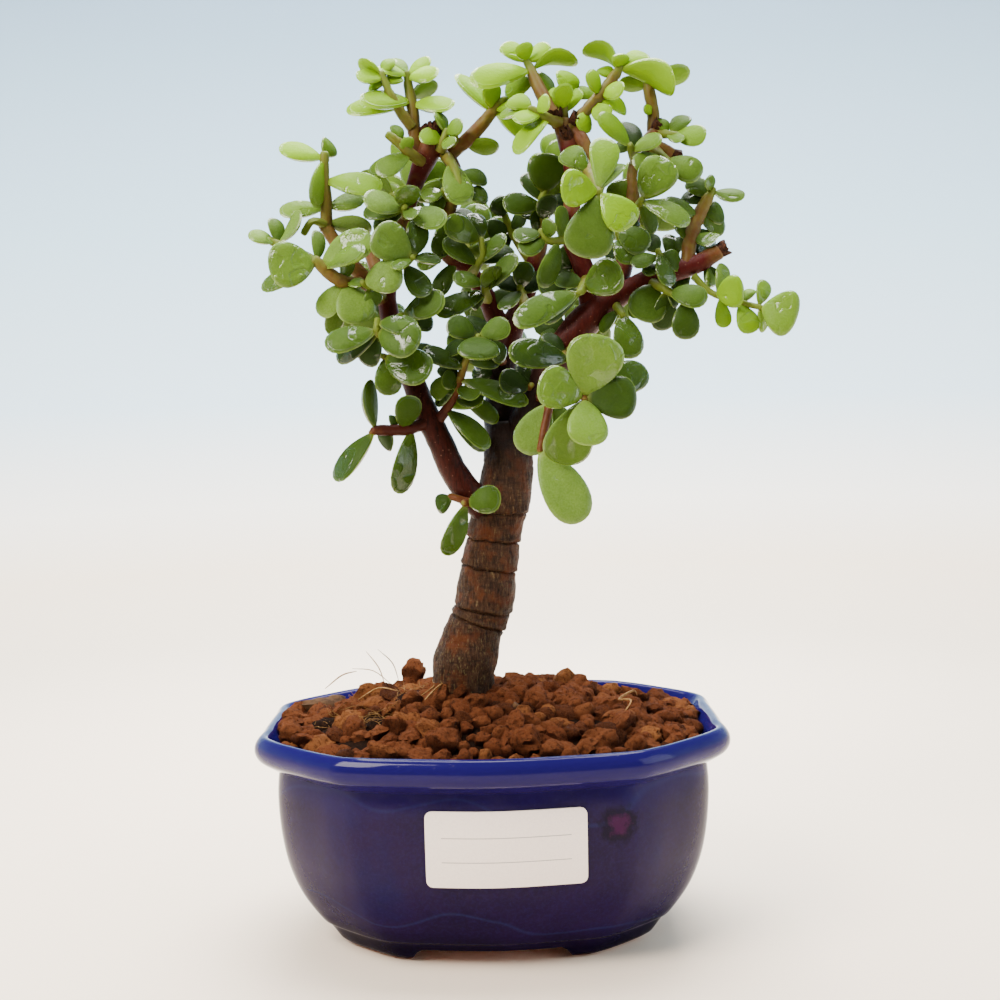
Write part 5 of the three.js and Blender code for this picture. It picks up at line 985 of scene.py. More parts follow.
def leaf_skin(settings):
    """Succulent leaf skin: yellow-green when new and deep green when old, with a painted pale sheen on
    half-old leaves, a fine pale margin that is partly its own colour and partly a painted highlight, a duller
    underside, and a film of water that lies in patches and along the margin."""
    finish, add, shader, spot = new_finish(
        "succulent_leaf_skin",
        {"Subsurface Weight": 0.1, "Subsurface Radius": (0.6, 1.0, 0.2),
         "Subsurface Scale": 0.001},
    )
    marks = {
        tag: add("Attribute", {"attribute_name": tag}, {}).outputs["Fac"]
        for tag in ("along", "across", "face", "tone", "vary")
    }
    clouds = add("TexNoise", {"Scale": 0.22, "Detail": 3.0, "Roughness": 0.6}, {"Vector": spot})
    shifted = add("Math", {"operation": "MULTIPLY_ADD", 1: 0.16}, {0: clouds, 2: marks["tone"]})
    axes = add("SeparateXYZ", {}, {0: spot})
    crown = add("MapRange", {1: 252.0, 2: 276.0}, {0: axes.outputs[2]})
    newer = add("Math", {"operation": "MULTIPLY_ADD", 1: -0.16}, {0: crown, 2: shifted})
    age = add("MapRange", {1: 0.08, 2: 1.08}, {0: newer})
    upper = add(
        "ValToRGB",
        {"stops": [
            (0.0, settings.leaf_new), (0.2, "#5C7E10"), (0.44, "#445F14"), (0.7, "#304610"),
            (1.0, settings.leaf_old),
        ]},
        {0: age},
    )
    dull = add("MapRange", {3: 0.5, 4: 0.1}, {0: crown})
    under_share = add("MapRange", {1: 0.1, 2: -0.5}, {0: marks["face"], 4: dull})
    sided = add("Mix", {"data_type": "RGBA", 7: "#5C7430"}, {0: under_share, 6: upper})
    edge = add("Math", {"operation": "ABSOLUTE"}, {0: marks["face"]})
    # A pale band along the rounded margin: partly the leaf's own paler edge, partly a painted highlight on
    # its rim.
    margin = add("MapRange", {1: 0.3, 2: 0.0, 4: 0.3}, {0: edge})
    margin_glinted = add("Mix", {"data_type": "RGBA", 7: "#8FA84A"}, {0: margin, 6: sided})
    base = add("MapRange", {1: 0.2, 2: 0.0, 4: 0.4}, {0: marks["along"]})
    based = add("Mix", {"data_type": "RGBA", 7: "#8A8F35"}, {0: base, 6: margin_glinted})
    wetness = add("TexNoise", {"Scale": 0.16, "Detail": 1.0, "Distortion": 0.4}, {"Vector": spot})
    wetter = add("Math", {"operation": "MULTIPLY_ADD", 1: 0.25}, {0: marks["vary"], 2: wetness})
    dripped = add("Math", {"operation": "MULTIPLY_ADD", 1: -0.14}, {0: crown, 2: wetter})
    dry = add("MapRange", {1: 0.76, 2: 0.7}, {0: dripped})
    wet = add("Math", {"operation": "SUBTRACT", 0: 1.0}, {1: dry})
    rolled = add("MapRange", {1: 0.62, 2: 0.3, 4: 0.75}, {0: edge})
    lively = add("Math", {"operation": "MAXIMUM"}, {0: wet, 1: rolled})
    gloss = add("MapRange", {3: 0.46, 4: 0.06}, {0: lively})
    shine = add("MapRange", {3: 0.045, 4: 0.42}, {0: lively})
    ripples = add("TexNoise", {"Scale": 0.5, "Detail": 1.5, "Distortion": 1.6}, {"Vector": spot})
    pools = add("Math", {"operation": "MULTIPLY_ADD", 1: 0.6}, {0: ripples, 2: dry})
    brink = add("ValToRGB", {"stops": [(0.32, 0.0), (0.44, 1.0), (0.56, 0.0)]}, {0: edge})
    soaked = add("MapRange", {1: 0.25, 2: 0.6, 4: 0.4}, {0: marks["vary"]})
    brimming = add("Math", {"operation": "MULTIPLY_ADD"}, {0: brink, 1: soaked, 2: pools})
    cells = add("TexNoise", {"Scale": 1.6, "Detail": 3.0, "Roughness": 0.7}, {"Vector": spot})
    # Painted sheen: a pale bloom on half-old leaves, stronger on the lower ones, stands in for their soft
    # shine.
    sheen_by_age = add("ValToRGB", {"stops": [(0.14, 0.0), (0.3, 0.42), (0.5, 0.16), (0.75, 0.02)]}, {0: age})
    matt = add("MapRange", {1: 0.95, 2: 0.3, 3: 0.4}, {0: marks["vary"]})
    lower = add("MapRange", {1: 1.0, 2: 0.0, 3: 0.1}, {0: crown, 4: matt})
    grain = add("MapRange", {1: 0.1, 2: 0.66, 3: 0.0}, {0: cells, 4: lower})
    painted_sheen_share = add("Math", {"operation": "MULTIPLY"}, {0: sheen_by_age, 1: grain})
    bloomed = add("Mix", {"data_type": "RGBA", 7: "#86A05C"}, {0: painted_sheen_share, 6: based})
    skin = add("Bump", {"Strength": 0.14, "Distance": 0.0003}, {"Height": cells})
    film = add("Bump", {"Strength": 0.5, "Distance": 0.0005}, {"Height": brimming, "Normal": skin})
    link(shader, {"Base Color": bloomed, "Roughness": gloss, "Specular IOR Level": shine, "Normal": film})
    return finish


def studio_paper():
    """Matt seamless studio paper: a warm white floor, cool pale blue above, shaded behind the camera."""
    finish, add, shader, spot = new_finish("studio_paper", {"Roughness": 0.9})
    axes = add("SeparateXYZ", {}, {0: spot})
    up = add("MapRange", {1: 40.0, 2: 620.0}, {0: axes.outputs[2]})
    shade = add(
        "ValToRGB",
        {"stops": [
            (0.0, "#FFEBD3"), (0.09, "#FCF6EC"), (0.26, "#C8E0EF"), (0.55, "#ABCBE0"), (1.0, "#86A3BC"),
        ]},
        {0: up},
    )
    behind = add("MapRange", {1: -300.0, 2: -620.0}, {0: axes.outputs[1]})
    shaded = add("Mix", {"data_type": "RGBA", 7: "#4A4E52"}, {0: behind, 6: shade})
    link(shader, {"Base Color": shaded})
    return finish


# ---------------------------------------------------------------- tools for meshes


def swept(name, rings, girths=None):
    """A closed skin through rings of points, drawn out of a ball that has a ring of corners for each."""
    sides, levels = len(rings[0]), len(rings) + 1
    deselect()
    bpy.ops.mesh.primitive_uv_sphere_add(segments=sides, ring_count=levels, radius=1)
    skin = bpy.context.object
    skin.name = name
    middles = [sum(rings[end], Vector()) / sides for end in (0, -1)]
    widths = []
    for corner in skin.data.vertices:
        level = round(math.acos(min(max(corner.co.z, -1.0), 1.0)) / math.pi * levels)
        ring = min(max(level - 1, 0), len(rings) - 1)
        if level in (0, levels):
            corner.co = middles[0 if level == 0 else 1]
        else:
            turn = math.atan2(corner.co.y, corner.co.x) / (2 * math.pi)
            corner.co = rings[ring][round(turn * sides) % sides]
        widths.append(girths[ring] if girths else 0.0)
    if girths:
        skin.data.attributes.new("girth", "FLOAT", "POINT").data.foreach_set("value", widths)
    bpy.ops.object.mode_set(mode="EDIT")
    bpy.ops.mesh.select_all(action="SELECT")
    bpy.ops.mesh.normals_make_consistent(inside=False)
    bpy.ops.object.mode_set(mode="OBJECT")
    return skin


def smooth_line(points, share):
    """The point at a share of a smooth line through points, each a tuple of numbers."""
    along = min(max(share, 0.0), 1.0) * (len(points) - 1)
    before = min(int(along), len(points) - 2)
    t = along - before
    a, b = points[before], points[before + 1]
    first = points[before - 1] if before else tuple(2 * p - q for p, q in zip(a, b))
    last = points[before + 2] if before + 2 < len(points) else tuple(2 * q - p for p, q in zip(a, b))
    return tuple(
        0.5 * (2 * p + (q - o) * t + (2 * o - 5 * p + 4 * q - r) * t * t + (3 * p - o - 3 * q + r) * t ** 3)
        for o, p, q, r in zip(first, a, b, last)
    )


def copied(piece):
    """A copy of a piece, with a mesh of its own."""
    copy = piece.copy()
    copy.data = piece.data.copy()
    bpy.context.scene.collection.objects.link(copy)
    return copy


def set_smooth(piece, degrees):
    """Smooth shading, but for edges sharper than an angle."""
    deselect()
    piece.select_set(True)
    bpy.context.view_layer.objects.active = piece
    bpy.ops.object.shade_smooth_by_angle(angle=math.radians(degrees))


def joined(pieces, name):
    """Several pieces as one."""
    deselect()
    for piece in pieces:
        piece.select_set(True)
    bpy.context.view_layer.objects.active = pieces[0]
    if len(pieces) > 1:
        bpy.ops.object.join()
    pieces[0].name = name
    pieces[0].data.name = name
    return pieces[0]


def settle(piece, slot, *nodes):
    """Hangs a finished piece under the root body and hides the frame's nodes that it stands for; its slot is
    not used.
    """
    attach(piece, "root")
    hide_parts(*nodes)


# ---------------------------------------------------------------- pot and label


def plan_point(step, half_depth):
    """A point of the pot's plan for a half depth, a number of steps round it out of PLAN_STEPS."""
    points = []
    quarter = PLAN_STEPS // 4
    for whole in range(math.floor(step) - 1, math.floor(step) + 3):
        turn, into = divmod(whole % PLAN_STEPS, quarter)
        across, along = PLAN_QUARTER[into if turn % 2 == 0 else quarter - into]
        points.append((across if turn < 2 else -across, -along if turn in (0, 3) else along))
    into = step - math.floor(step)
    across, along = smooth_line(points, (1 + into) / 3)
    half = PLAN_STEPS / 2
    from_corner = min(abs((step - corner + half) % PLAN_STEPS - half) for corner in PLAN_CORNERS)
    sharp = CORNER_SHARPNESS * max(1 - from_corner, 0)
    straight = [p + (q - p) * into for p, q in zip(points[1], points[2])]
    across, along = (p + (q - p) * sharp for p, q in zip((across, along), straight))
    half_width = half_depth + min(STRETCH, half_depth / 2)
    return across * half_width, along * half_depth


def pot_ring(half_depth, height):
    """A ring of the pot, at its fine number of points."""
    plan = [plan_point(i / PLAN_FINE, half_depth) for i in range(PLAN_STEPS * PLAN_FINE)]
    return [place(x, y, height) for x, y in plan]


def fine_profile(points, pieces):
    """A profile with more points on the smooth line through it."""
    count = (len(points) - 1) * pieces
    return [smooth_line(points, i / count) for i in range(count + 1)]


def cut_away(piece, cutter):
    """Cuts a solid out of a piece, and drops the solid."""
    deselect()
    bpy.context.view_layer.objects.active = piece
    cut = piece.modifiers.new("cut", "BOOLEAN")
    cut.operation = "DIFFERENCE"
    cut.solver = "MANIFOLD"
    cut.object = cutter
    bpy.ops.object.modifier_apply(modifier=cut.name)
    bpy.data.objects.remove(cutter)


def foot_gap(name, width, reach, turned):
    """A bar with curved ends to its section, that leaves a gap between two feet, in millimetres."""
    half = [(-width / 2 + inward, height) for inward, height in FOOT_GAP_END]
    section = [(-width / 2, -3), *half, *[(-x, z) for x, z in reversed(half)], (width / 2, -3)]
    ends = [
        [place(side, x, z) if turned else place(x - GAP_SHIFT, side, z) for x, z in section]
        for side in (-reach, reach)
    ]
    return swept(name, ends)


def rod(radius, height, centre):
    """An upright round rod, in millimetres."""
    deselect()
    bpy.ops.mesh.primitive_cylinder_add(
        vertices=ROD_SIDES, radius=radius * MM, depth=height * MM, location=place(*centre),
    )
    bpy.ops.object.transform_apply(location=True, rotation=False, scale=False)
    return bpy.context.object


class BONSAI_OT_pot(bpy.types.Operator):
    """Model the glazed pot with its bowed walls, rolled lip, feet and drain holes"""
    bl_idname = "bonsai.pot"
    bl_label = "Pot"

    def execute(self, context):
        profile = [
            *UNDERSIDE, *fine_profile([FOOT_EDGE, *WALL[1:]], 5), *fine_profile([UNDER_LIP, *LIP], 4),
            *fine_profile(INSIDE, 4), FLOOR_MIDDLE,
        ]
        pot = swept("pot_glazed", [pot_ring(half_depth, height) for half_depth, height in profile])
        cut_away(pot, foot_gap("front_gap", FOOT_GAP_FRONT + 8, 100, False))
        cut_away(pot, foot_gap("side_gap", FOOT_GAP_SIDE + 6, 120, True))
        for x in (-DRAIN_OFFSET, DRAIN_OFFSET):
            cut_away(pot, rod(DRAIN_RADIUS, 60, (x, 0, 5)))
        set_smooth(pot, 40)
        pot.data.materials.clear()
        pot.data.materials.append(cobalt_glaze(context.scene.bonsai_pot))
        settle(pot, "glaze", "pot")
        return {"FINISHED"}


def found(low, high, is_below):
    """The number between two at which a rule stops being true."""
    for _ in range(40):
        middle = (low + high) / 2
        low, high = (middle, high) if is_below(middle) else (low, middle)
    return low


def front_wall(x, z, off):
    """The depth of a point that stands off the pot's front wall, at a place across and up it."""
    share = found(0.0, 1.0, lambda at: smooth_line(WALL, at)[1] < z)
    half_depth = smooth_line(WALL, share)[0] + off
    step = found(0.0, PLAN_STEPS / 4, lambda at: plan_point(at, half_depth)[0] < abs(x))
    return plan_point(step, half_depth)[1]


class BONSAI_OT_label(bpy.types.Operator):
    """Model the blank paper label that follows the front wall"""
    bl_idname = "bonsai.label"
    bl_label = "Label"

    def execute(self, context):
        half_width, half_height = LABEL_SIZE[0] / 2, LABEL_SIZE[1] / 2
        deselect()
        bpy.ops.mesh.primitive_grid_add(x_subdivisions=48, y_subdivisions=24, size=2)
        label = bpy.context.object
        label.name = "label_blank"
        for corner in label.data.vertices:
            x, z = corner.co.x * half_width, corner.co.y * half_height
            over_x, over_z = abs(x) - half_width + LABEL_CORNER, abs(z) - half_height + LABEL_CORNER
            if over_x > 0 and over_z > 0:
                inward = 1 - max(over_x, over_z) / math.hypot(over_x, over_z)
                x -= math.copysign(over_x * inward, x)
                z -= math.copysign(over_z * inward, z)
            x, z = x + LABEL_MIDDLE[0], z + LABEL_MIDDLE[1]
            corner.co = place(x, front_wall(x, z, LABEL_BACK), z)
        if sum(face.normal.y for face in label.data.polygons) > 0:
            label.data.flip_normals()
        thick = label.modifiers.new("paper", "SOLIDIFY")
        thick.thickness = PAPER * MM
        thick.offset = 1.0
        bpy.ops.object.modifier_apply(modifier=thick.name)
        set_smooth(label, 35)
        label.data.materials.append(label_paper(context.scene.bonsai_pot))
        settle(label, "label_paper", "label")
        return {"FINISHED"}


class BONSAI_OT_drain_mesh(bpy.types.Operator):
    """Finish the two squares of drainage mesh under the soil"""
    bl_idname = "bonsai.drain_mesh"
    bl_label = "Drainage mesh"

    def execute(self, context):
        finish = moulded_mesh()
        for name in ("drain_mesh_1", "drain_mesh_2"):
            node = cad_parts[name]
            node.data.materials.clear()
            node.data.materials.append(finish)
        return {"FINISHED"}


# ---------------------------------------------------------------- soil


def dome_height(share):
    """The height of the soil at a share of the way from the middle of the pot to its rim."""
    return SOIL_EDGE + (SOIL_CROWN - SOIL_EDGE) * (1 - share * share)


def lump(chance, fineness):
    """A broken lump of baked clay, one unit in radius: a ball chipped by flat breaks and pitted."""
    deselect()
    bpy.ops.mesh.primitive_ico_sphere_add(subdivisions=fineness, radius=1)
    piece = bpy.context.object
    stretch = Vector((chance.uniform(0.85, 1.2), chance.uniform(0.8, 1.1), chance.uniform(0.65, 0.95)))
    offset = Vector([chance.uniform(0, 99) for _ in range(3)])
    breaks = [
        (Vector([chance.gauss(0, 1) for _ in range(3)]).normalized(), chance.uniform(*LUMP_BREAK_AT))
        for _ in range(LUMP_BREAKS)
    ]
    for corner in piece.data.vertices:
        point = corner.co.copy()
        for side, reach in breaks:
            point -= side * max(point.dot(side) - reach, 0) * LUMP_BREAK_SHARE
        swellings = [high * noise.noise(corner.co * fine + offset) for high, fine in LUMP_SWELLINGS]
        corner.co = point * sum(swellings, LUMP_SIZE) * stretch
    piece.data.attributes.new("tone", "FLOAT", "POINT")
    return piece


def laid(granule, spot, width, turn, tone):
    """A copy of a lump at a place in millimetres, with its width, turn and tone."""
    granule = copied(granule)
    granule.data.transform(Matrix.Translation(place(*spot)) @ turn @ Matrix.Scale(width / 2 * MM, 4))
    granule.data.attributes["tone"].data.foreach_set("value", [tone] * len(granule.data.vertices))
    return granule


def tumbled(chance):
    """A turn at random."""
    about_z, about_x = chance.uniform(0, ANY_TURN), chance.uniform(0, ANY_TURN)
    return Matrix.Rotation(about_z, 4, "Z") @ Matrix.Rotation(about_x, 4, "X")


def share_of_soil(x, y):
    """The share of the way from the middle of the pot to its rim, at a place on the soil."""
    return math.hypot(x / (INSIDE[0][0] + STRETCH), y / INSIDE[0][0])


def thread(name, points, radius, sides):
    """A thin straw or root along a smooth line through points, tapered to both ends."""
    count = 4 * (len(points) - 1)
    line = [Vector(smooth_line(points, i / count)) for i in range(count + 1)]
    side = (line[1] - line[0]).orthogonal().normalized()
    rings = []
    for i, point in enumerate(line):
        onward = (line[min(i + 1, count)] - line[max(i - 1, 0)]).normalized()
        side = (side - onward * side.dot(onward)).normalized()
        over = onward.cross(side)
        width = radius * (1 - 0.6 * abs(2 * i / count - 1) ** 2)
        turns = [2 * math.pi * k / sides for k in range(sides)]
        rings.append([place(*(point + (side * math.cos(a) + over * math.sin(a)) * width)) for a in turns])
    return swept(name, rings)


class BONSAI_OT_soil(bpy.types.Operator):
    """Model the granular soil, with peat and rootlets between the granules"""
    bl_idname = "bonsai.soil"
    bl_label = "Soil"

    def execute(self, context):
        settings = context.scene.bonsai_soil
        chance = random.Random(SOIL_SEED)
        edge = INSIDE[0][0] - SOIL_CLEARANCE
        inside = [(half_depth - SOIL_CLEARANCE, height) for half_depth, height in reversed(INSIDE[1:])]
        dome = [(edge * share, dome_height(share) - FILLING_BELOW) for share in FILLING_SHARES]
        rings = [*FILLING_FLOOR, *inside[1:], *FILLING_RIM, *dome]
        filling = swept("soil_filling", [pot_ring(*ring) for ring in rings])
        filling.data.materials.append(peat(settings))
        set_smooth(filling, 60)
        settle(filling, "soil", "soil")
        lumps = [lump(chance, 2) for _ in range(LUMP_KINDS)]
        large_lumps = [lump(chance, 3) for _ in range(LARGE_LUMP_KINDS)]
        granules = []
        for i in range(settings.granules):
            spread = settings.largest - settings.smallest
            width = settings.smallest + spread * chance.random() ** GRANULE_FINENESS
            share = math.sqrt((i + 0.5) / settings.granules)
            reach = width / MM / 2
            x, y = plan_point(i * GOLDEN_TURN % 1.0 * PLAN_STEPS, share * (SOIL_REACH - 0.8 * reach))
            level = dome_height(min(share_of_soil(x, y), SOIL_BRIM))
            waver = chance.uniform(-GRANULE_WAVER, GRANULE_WAVER)
            spot = (x, y, level + waver - GRANULE_LAYER * (i % 2))
            kind = chance.choice(large_lumps if reach > COARSE_GRANULE else lumps)
            turn, tone = tumbled(chance), chance.random()
            apart = [math.hypot(x - at_x, y - at_y) - radius for at_x, at_y, radius in PEAT_PATCHES]
            if min(apart) > PEAT_MARGIN:
                granules.append(laid(kind, spot, width / MM, turn, tone))
        for *spot, width in HEAP_LUMPS:
            kind, turn = chance.choice(large_lumps), tumbled(chance)
            granules.append(laid(kind, spot, width, turn, chance.random()))
        long = Matrix.Rotation(0.3, 4, "Z") @ Matrix.Diagonal((1.45, 1.0, 0.95, 1))
        stones = [laid(large_lumps[0], STONE, STONE_WIDTH, long, 0)]
        for *spot, width in PEBBLES:
            stones.append(laid(large_lumps[1], spot, width, tumbled(chance), 0))
        flat = Matrix.Diagonal((1, 1, MOUND_HEIGHT, 1))
        mounds = []
        for x, y, radius in PEAT_PATCHES:
            spot = (x, y, dome_height(share_of_soil(x, y)) - MOUND_BELOW)
            mounds.append(laid(large_lumps[2], spot, MOUND_WIDTH * radius, flat, 0))
        threads = [thread("straw", points, radius, 6) for *points, radius in STRAWS]
        curls = []
        for _ in range(ROOTLET_KINDS):
            knots = []
            for k in range(4):
                x = 4 * k + chance.uniform(-1, 1) - 6 - POT_MIDDLE_X
                knots.append((x, chance.uniform(-2, 2), chance.uniform(-1, 1.5)))
            curls.append(thread("rootlet", knots, ROOTLET_RADIUS, 4))
        for _ in range(ROOTLETS):
            x, y, radius = chance.choice(PEAT_PATCHES)
            spread = ROOTLET_SPREAD * radius
            x, y = x + chance.gauss(0, spread), y + chance.gauss(0, spread)
            level = dome_height(min(share_of_soil(x, y), ROOTLET_BRIM))
            spot = place(x, y, level + chance.uniform(0.8, 3.2))
            rootlet = copied(chance.choice(curls))
            about_z, about_y = chance.uniform(0, ANY_TURN), chance.uniform(-0.9, 0.9)
            turn = Matrix.Rotation(about_z, 4, "Z") @ Matrix.Rotation(about_y, 4, "Y")
            size = Matrix.Scale(chance.uniform(0.4, 0.9), 4)
            rootlet.data.transform(Matrix.Translation(spot) @ turn @ size)
            threads.append(rootlet)
        for piece in (*lumps, *large_lumps, *curls):
            bpy.data.objects.remove(piece)
        for name, pieces, finish in (
            ("soil_stones", stones, plain_stuff("weathered_stone", "#2E1F13", "#543B26", 0.4, 0.8)),
            ("soil_peat_patches", mounds, peat(settings)),
            ("soil_straws", threads, plain_stuff("dry_straw", "#64421F", "#9A7444", 0.8, 0.6)),
        ):
            extra = joined(pieces, name)
            extra.data.materials.append(finish)
            set_smooth(extra, 50)
            settle(extra, "soil", "soil")
        granules = joined(granules, "soil_granules")
        granules.data.materials.append(baked_clay(settings))
        set_smooth(granules, 42)
        settle(granules, "soil", "soil")
        return {"FINISHED"}


# ---------------------------------------------------------------- wood


def nearness(depth):
    """How large a thing at a depth is next to the same thing drawn on the drawing plane."""
    return (depth - VIEWPOINT.y) / -VIEWPOINT.y


def seen(x, z, depth):
    """A point of the drawing plane, carried back to its depth, in millimetres."""
    return (Vector((x, 0, z)) - VIEWPOINT) * nearness(depth) + VIEWPOINT


def in_space(layout):
    """A limb's line of (x, z, depth, radius) with its points and radii carried to their depths."""
    return [(*seen(x, z, depth), radius * nearness(depth)) for x, z, depth, radius in layout]


def limb(name, knots, sides, spacing, relief):
    """A round limb through knots of place and radius, with a relief on its skin and a blunt end."""
    length = sum((Vector(b[:3]) - Vector(a[:3])).length for a, b in zip(knots, knots[1:]))
    count = max(int(length / spacing), 3)
    stations = [smooth_line(knots, i / count) for i in range(count + 1)]
    points = [Vector(station[:3]) for station in stations]
    widths = [station[3] for station in stations]
    ahead = (points[-1] - points[-2]).normalized()
    for reach, share in BUD_PROFILE:
        points.append(points[count] + ahead * (BUD * reach))
        widths.append(widths[count] * share)
    side = (points[1] - points[0]).orthogonal().normalized()
    rings = []
    for i, (point, radius) in enumerate(zip(points, widths)):
        onward = (points[min(i + 1, len(points) - 1)] - points[max(i - 1, 0)]).normalized()
        side = (side - onward * side.dot(onward)).normalized()
        over = onward.cross(side)
        ring = []
        for k in range(sides):
            turn = 2 * math.pi * k / sides
            outward = side * math.cos(turn) + over * math.sin(turn)
            lift = relief(point + outward * radius, radius, outward)
            ring.append(place(*(point + outward * (radius + lift))))
        rings.append(ring)
    return swept(name, rings, widths)


def stretched_noise(point, across, up):
    """Noise with its own fineness across the trunk and up it."""
    return noise.noise(Vector((point.x * across, point.y * across, point.z * up)))


def trunk_relief(point, _, outward):
    """Ring scars, cracks and lumps of the trunk's bark, in millimetres."""
    lift = sum(high * stretched_noise(point, across, up) for high, across, up in BARK_GRAIN)
    for height, rise, depth in TRUNK_SCARS:
        waver = 0.8 * noise.noise(Vector((point.x * 0.3, point.y * 0.3, height)))
        above = point.z - height - rise * (1 - outward.x) / 2 - waver
        for share, middle, width in SCAR_PROFILE:
            lift += share * depth * math.exp(-((above - middle) / width) ** 2)
    return lift


def limb_relief(point, radius, _):
    """Shallow knots and wrinkles of a limb's bark, in millimetres."""
    return 0.06 * radius * noise.noise(point * 0.3) + 0.05 * noise.noise(point * 0.9)


def stem_relief(point, radius, _):
    """Slight swellings of a green stem, in millimetres."""
    return 0.08 * radius * noise.noise(point * 0.5)


def stub(spot, aim, radius, chance):
    """A cut end of a twig: a short dark tube with a ragged rim round a sunken middle."""
    onward = Vector(aim).normalized()
    side = onward.orthogonal().normalized()
    over = onward.cross(side)
    rings = []
    for share, height, jag in STUB_PROFILE:
        ring = []
        for k in range(STUB_SIDES):
            turn = 2 * math.pi * k / STUB_SIDES
            reach = radius * share * (1 + chance.uniform(-0.12, 0.12) * (height > 0))
            outward = side * math.cos(turn) + over * math.sin(turn)
            rise = height + chance.uniform(0, jag)
            ring.append(place(*(Vector(spot) + outward * reach + onward * rise)))
        rings.append(ring)
    return swept("cut_stub", rings)


class BONSAI_OT_wood(bpy.types.Operator):
    """Model the trunk and its limbs"""
    bl_idname = "bonsai.wood"
    bl_label = "Trunk and limbs"

    def execute(self, context):
        trunk = limb("trunk", in_space(LIMBS["trunk"]), TRUNK_SIDES, TRUNK_SPACING, trunk_relief)
        limbs = [
            limb(name, in_space(layout), LIMB_SIDES, LIMB_SPACING, limb_relief)
            for name, layout in LIMBS.items() if name != "trunk"
        ]
        wood = joined([trunk, *limbs], "bark_wood")
        wood.data.materials.append(bark(context.scene.bonsai_plant))
        set_smooth(wood, 60)
        settle(wood, "bark", "trunk_and_limbs")

        chance = random.Random(STUB_SEED)
        ends = [stub(seen(x, z, depth), aim, radius, chance) for x, z, depth, aim, radius in STUBS]
        stubs = joined(ends, "cut_stubs")
        stubs.data.materials.append(plain_stuff("dead_wood", "#120805", "#482A1A", 1.2, 0.7))
        set_smooth(stubs, 30)
        settle(stubs, "bark", "trunk_and_limbs")
        return {"FINISHED"}


# ---------------------------------------------------------------- shoots


def leaf_ball(segments, rings):
    """A ball with its poles on top and below and marks for its finish, which each leaf copies."""
    deselect()
    bpy.ops.mesh.primitive_uv_sphere_add(segments=segments, ring_count=rings, radius=1)
    ball = bpy.context.object
    for tag in ("along", "across", "face", "tone", "vary"):
        ball.data.attributes.new(tag, "FLOAT", "POINT")
    places = [corner.co for corner in ball.data.vertices]
    ball.data.attributes["along"].data.foreach_set("value", [(1 + co.x) / 2 for co in places])
    ball.data.attributes["across"].data.foreach_set("value", [co.y for co in places])
    ball.data.attributes["face"].data.foreach_set("value", [co.z for co in places])
    return ball


def leaned_normal(foot, axis, degrees):
    """The way a leaf's upper face looks, turned about its axis from facing the viewpoint."""
    facing = VIEWPOINT - foot
    facing = (facing - axis * facing.dot(axis)).normalized()
    side = axis.cross(facing)
    if side.z + 0.5 * side.x < 0:
        side.negate()
    lean = math.radians(degrees)
    towards_viewpoint = facing * math.cos(lean) + side * math.sin(lean)
    return -towards_viewpoint if degrees < 0 else towards_viewpoint


def leaf(balls, foot, tip, normal, width, arch, taper, thickness, tone, chance):
    """A leaf: a flattened ball drawn out from a narrow foot to a broad, round tip."""
    piece = copied(balls[width > LARGE_LEAF])
    axis = tip - foot
    length = axis.length
    axis.normalize()
    across = normal.cross(axis)
    thickness *= min(max(width / LARGE_LEAF, THINNEST_LEAF), 1.0)
    cup = LEAF_CUP * width * chance.uniform(-0.2, 1.5)
    twist = chance.uniform(-LEAF_TWIST, LEAF_TWIST)
    for corner in piece.data.vertices:
        x, y = corner.co.x, corner.co.y
        reach = math.hypot(x, y)
        if reach > 0:
            power = LEAF_BLUNTNESS
            blunt = (abs(x / reach) ** power + abs(y / reach) ** power) ** (-1 / power)
            spread = reach ** -LEAF_FLATNESS * (blunt if x > 0 else 1)
            x, y = x * spread, y * spread
        along = (1 + x) / 2
        breadth = width / 2 * (TAPER_START + along) ** taper / TAPER_PEAK ** taper
        hump = math.sin(math.pi * along)
        rise = math.copysign(abs(corner.co.z) ** LEAF_SIDES, corner.co.z) * thickness / 2
        rise *= 0.75 + 0.25 * hump
        bend = arch * 4 * along * (1 - along) - cup * (1 - abs(y) ** 1.5) * hump
        rise += bend + twist * y * breadth * along
        point = foot + axis * (along * length) + across * (y * breadth) + normal * rise
        corner.co = place(*point)
    count = len(piece.data.vertices)
    piece.data.attributes["tone"].data.foreach_set("value", [tone] * count)
    piece.data.attributes["vary"].data.foreach_set("value", [chance.random()] * count)
    middle = place(*(foot + tip) / 2)
    outward = sum(face.normal.dot(face.center - middle) > 0 for face in piece.data.polygons)
    if outward < len(piece.data.polygons) / 2:
        piece.data.flip_normals()
    return piece


def nearest_on_stems(stems, x, z):
    """The point on the middle lines of a shoot's stems that is drawn nearest to x, z."""
    spots = []
    for layout in stems:
        knots = in_space(layout)
        steps = 10 * (len(knots) - 1)
        spots += [Vector(smooth_line(knots, step / steps)[:3]) for step in range(steps + 1)]

    def distance(spot):
        drawn = (spot - VIEWPOINT) / nearness(spot.y) + VIEWPOINT
        return math.hypot(drawn.x - x, drawn.z - z)

    return min(spots, key=distance)


def leaf_tone(name, z, back, chance):
    """How old a leaf looks, from 0 for new to 1 for old: younger towards the top and the front."""
    level = min(max((z - CROWN_LOW) / (CROWN_HIGH - CROWN_LOW), 0.0), 1.0)
    base = SHOOT_TONES.get(name, TONE_LOW + (TONE_HIGH - TONE_LOW) * level)
    return min(max(base + TONE_BACK * back + chance.uniform(-TONE_WAVER, TONE_WAVER), 0.0), 1.0)


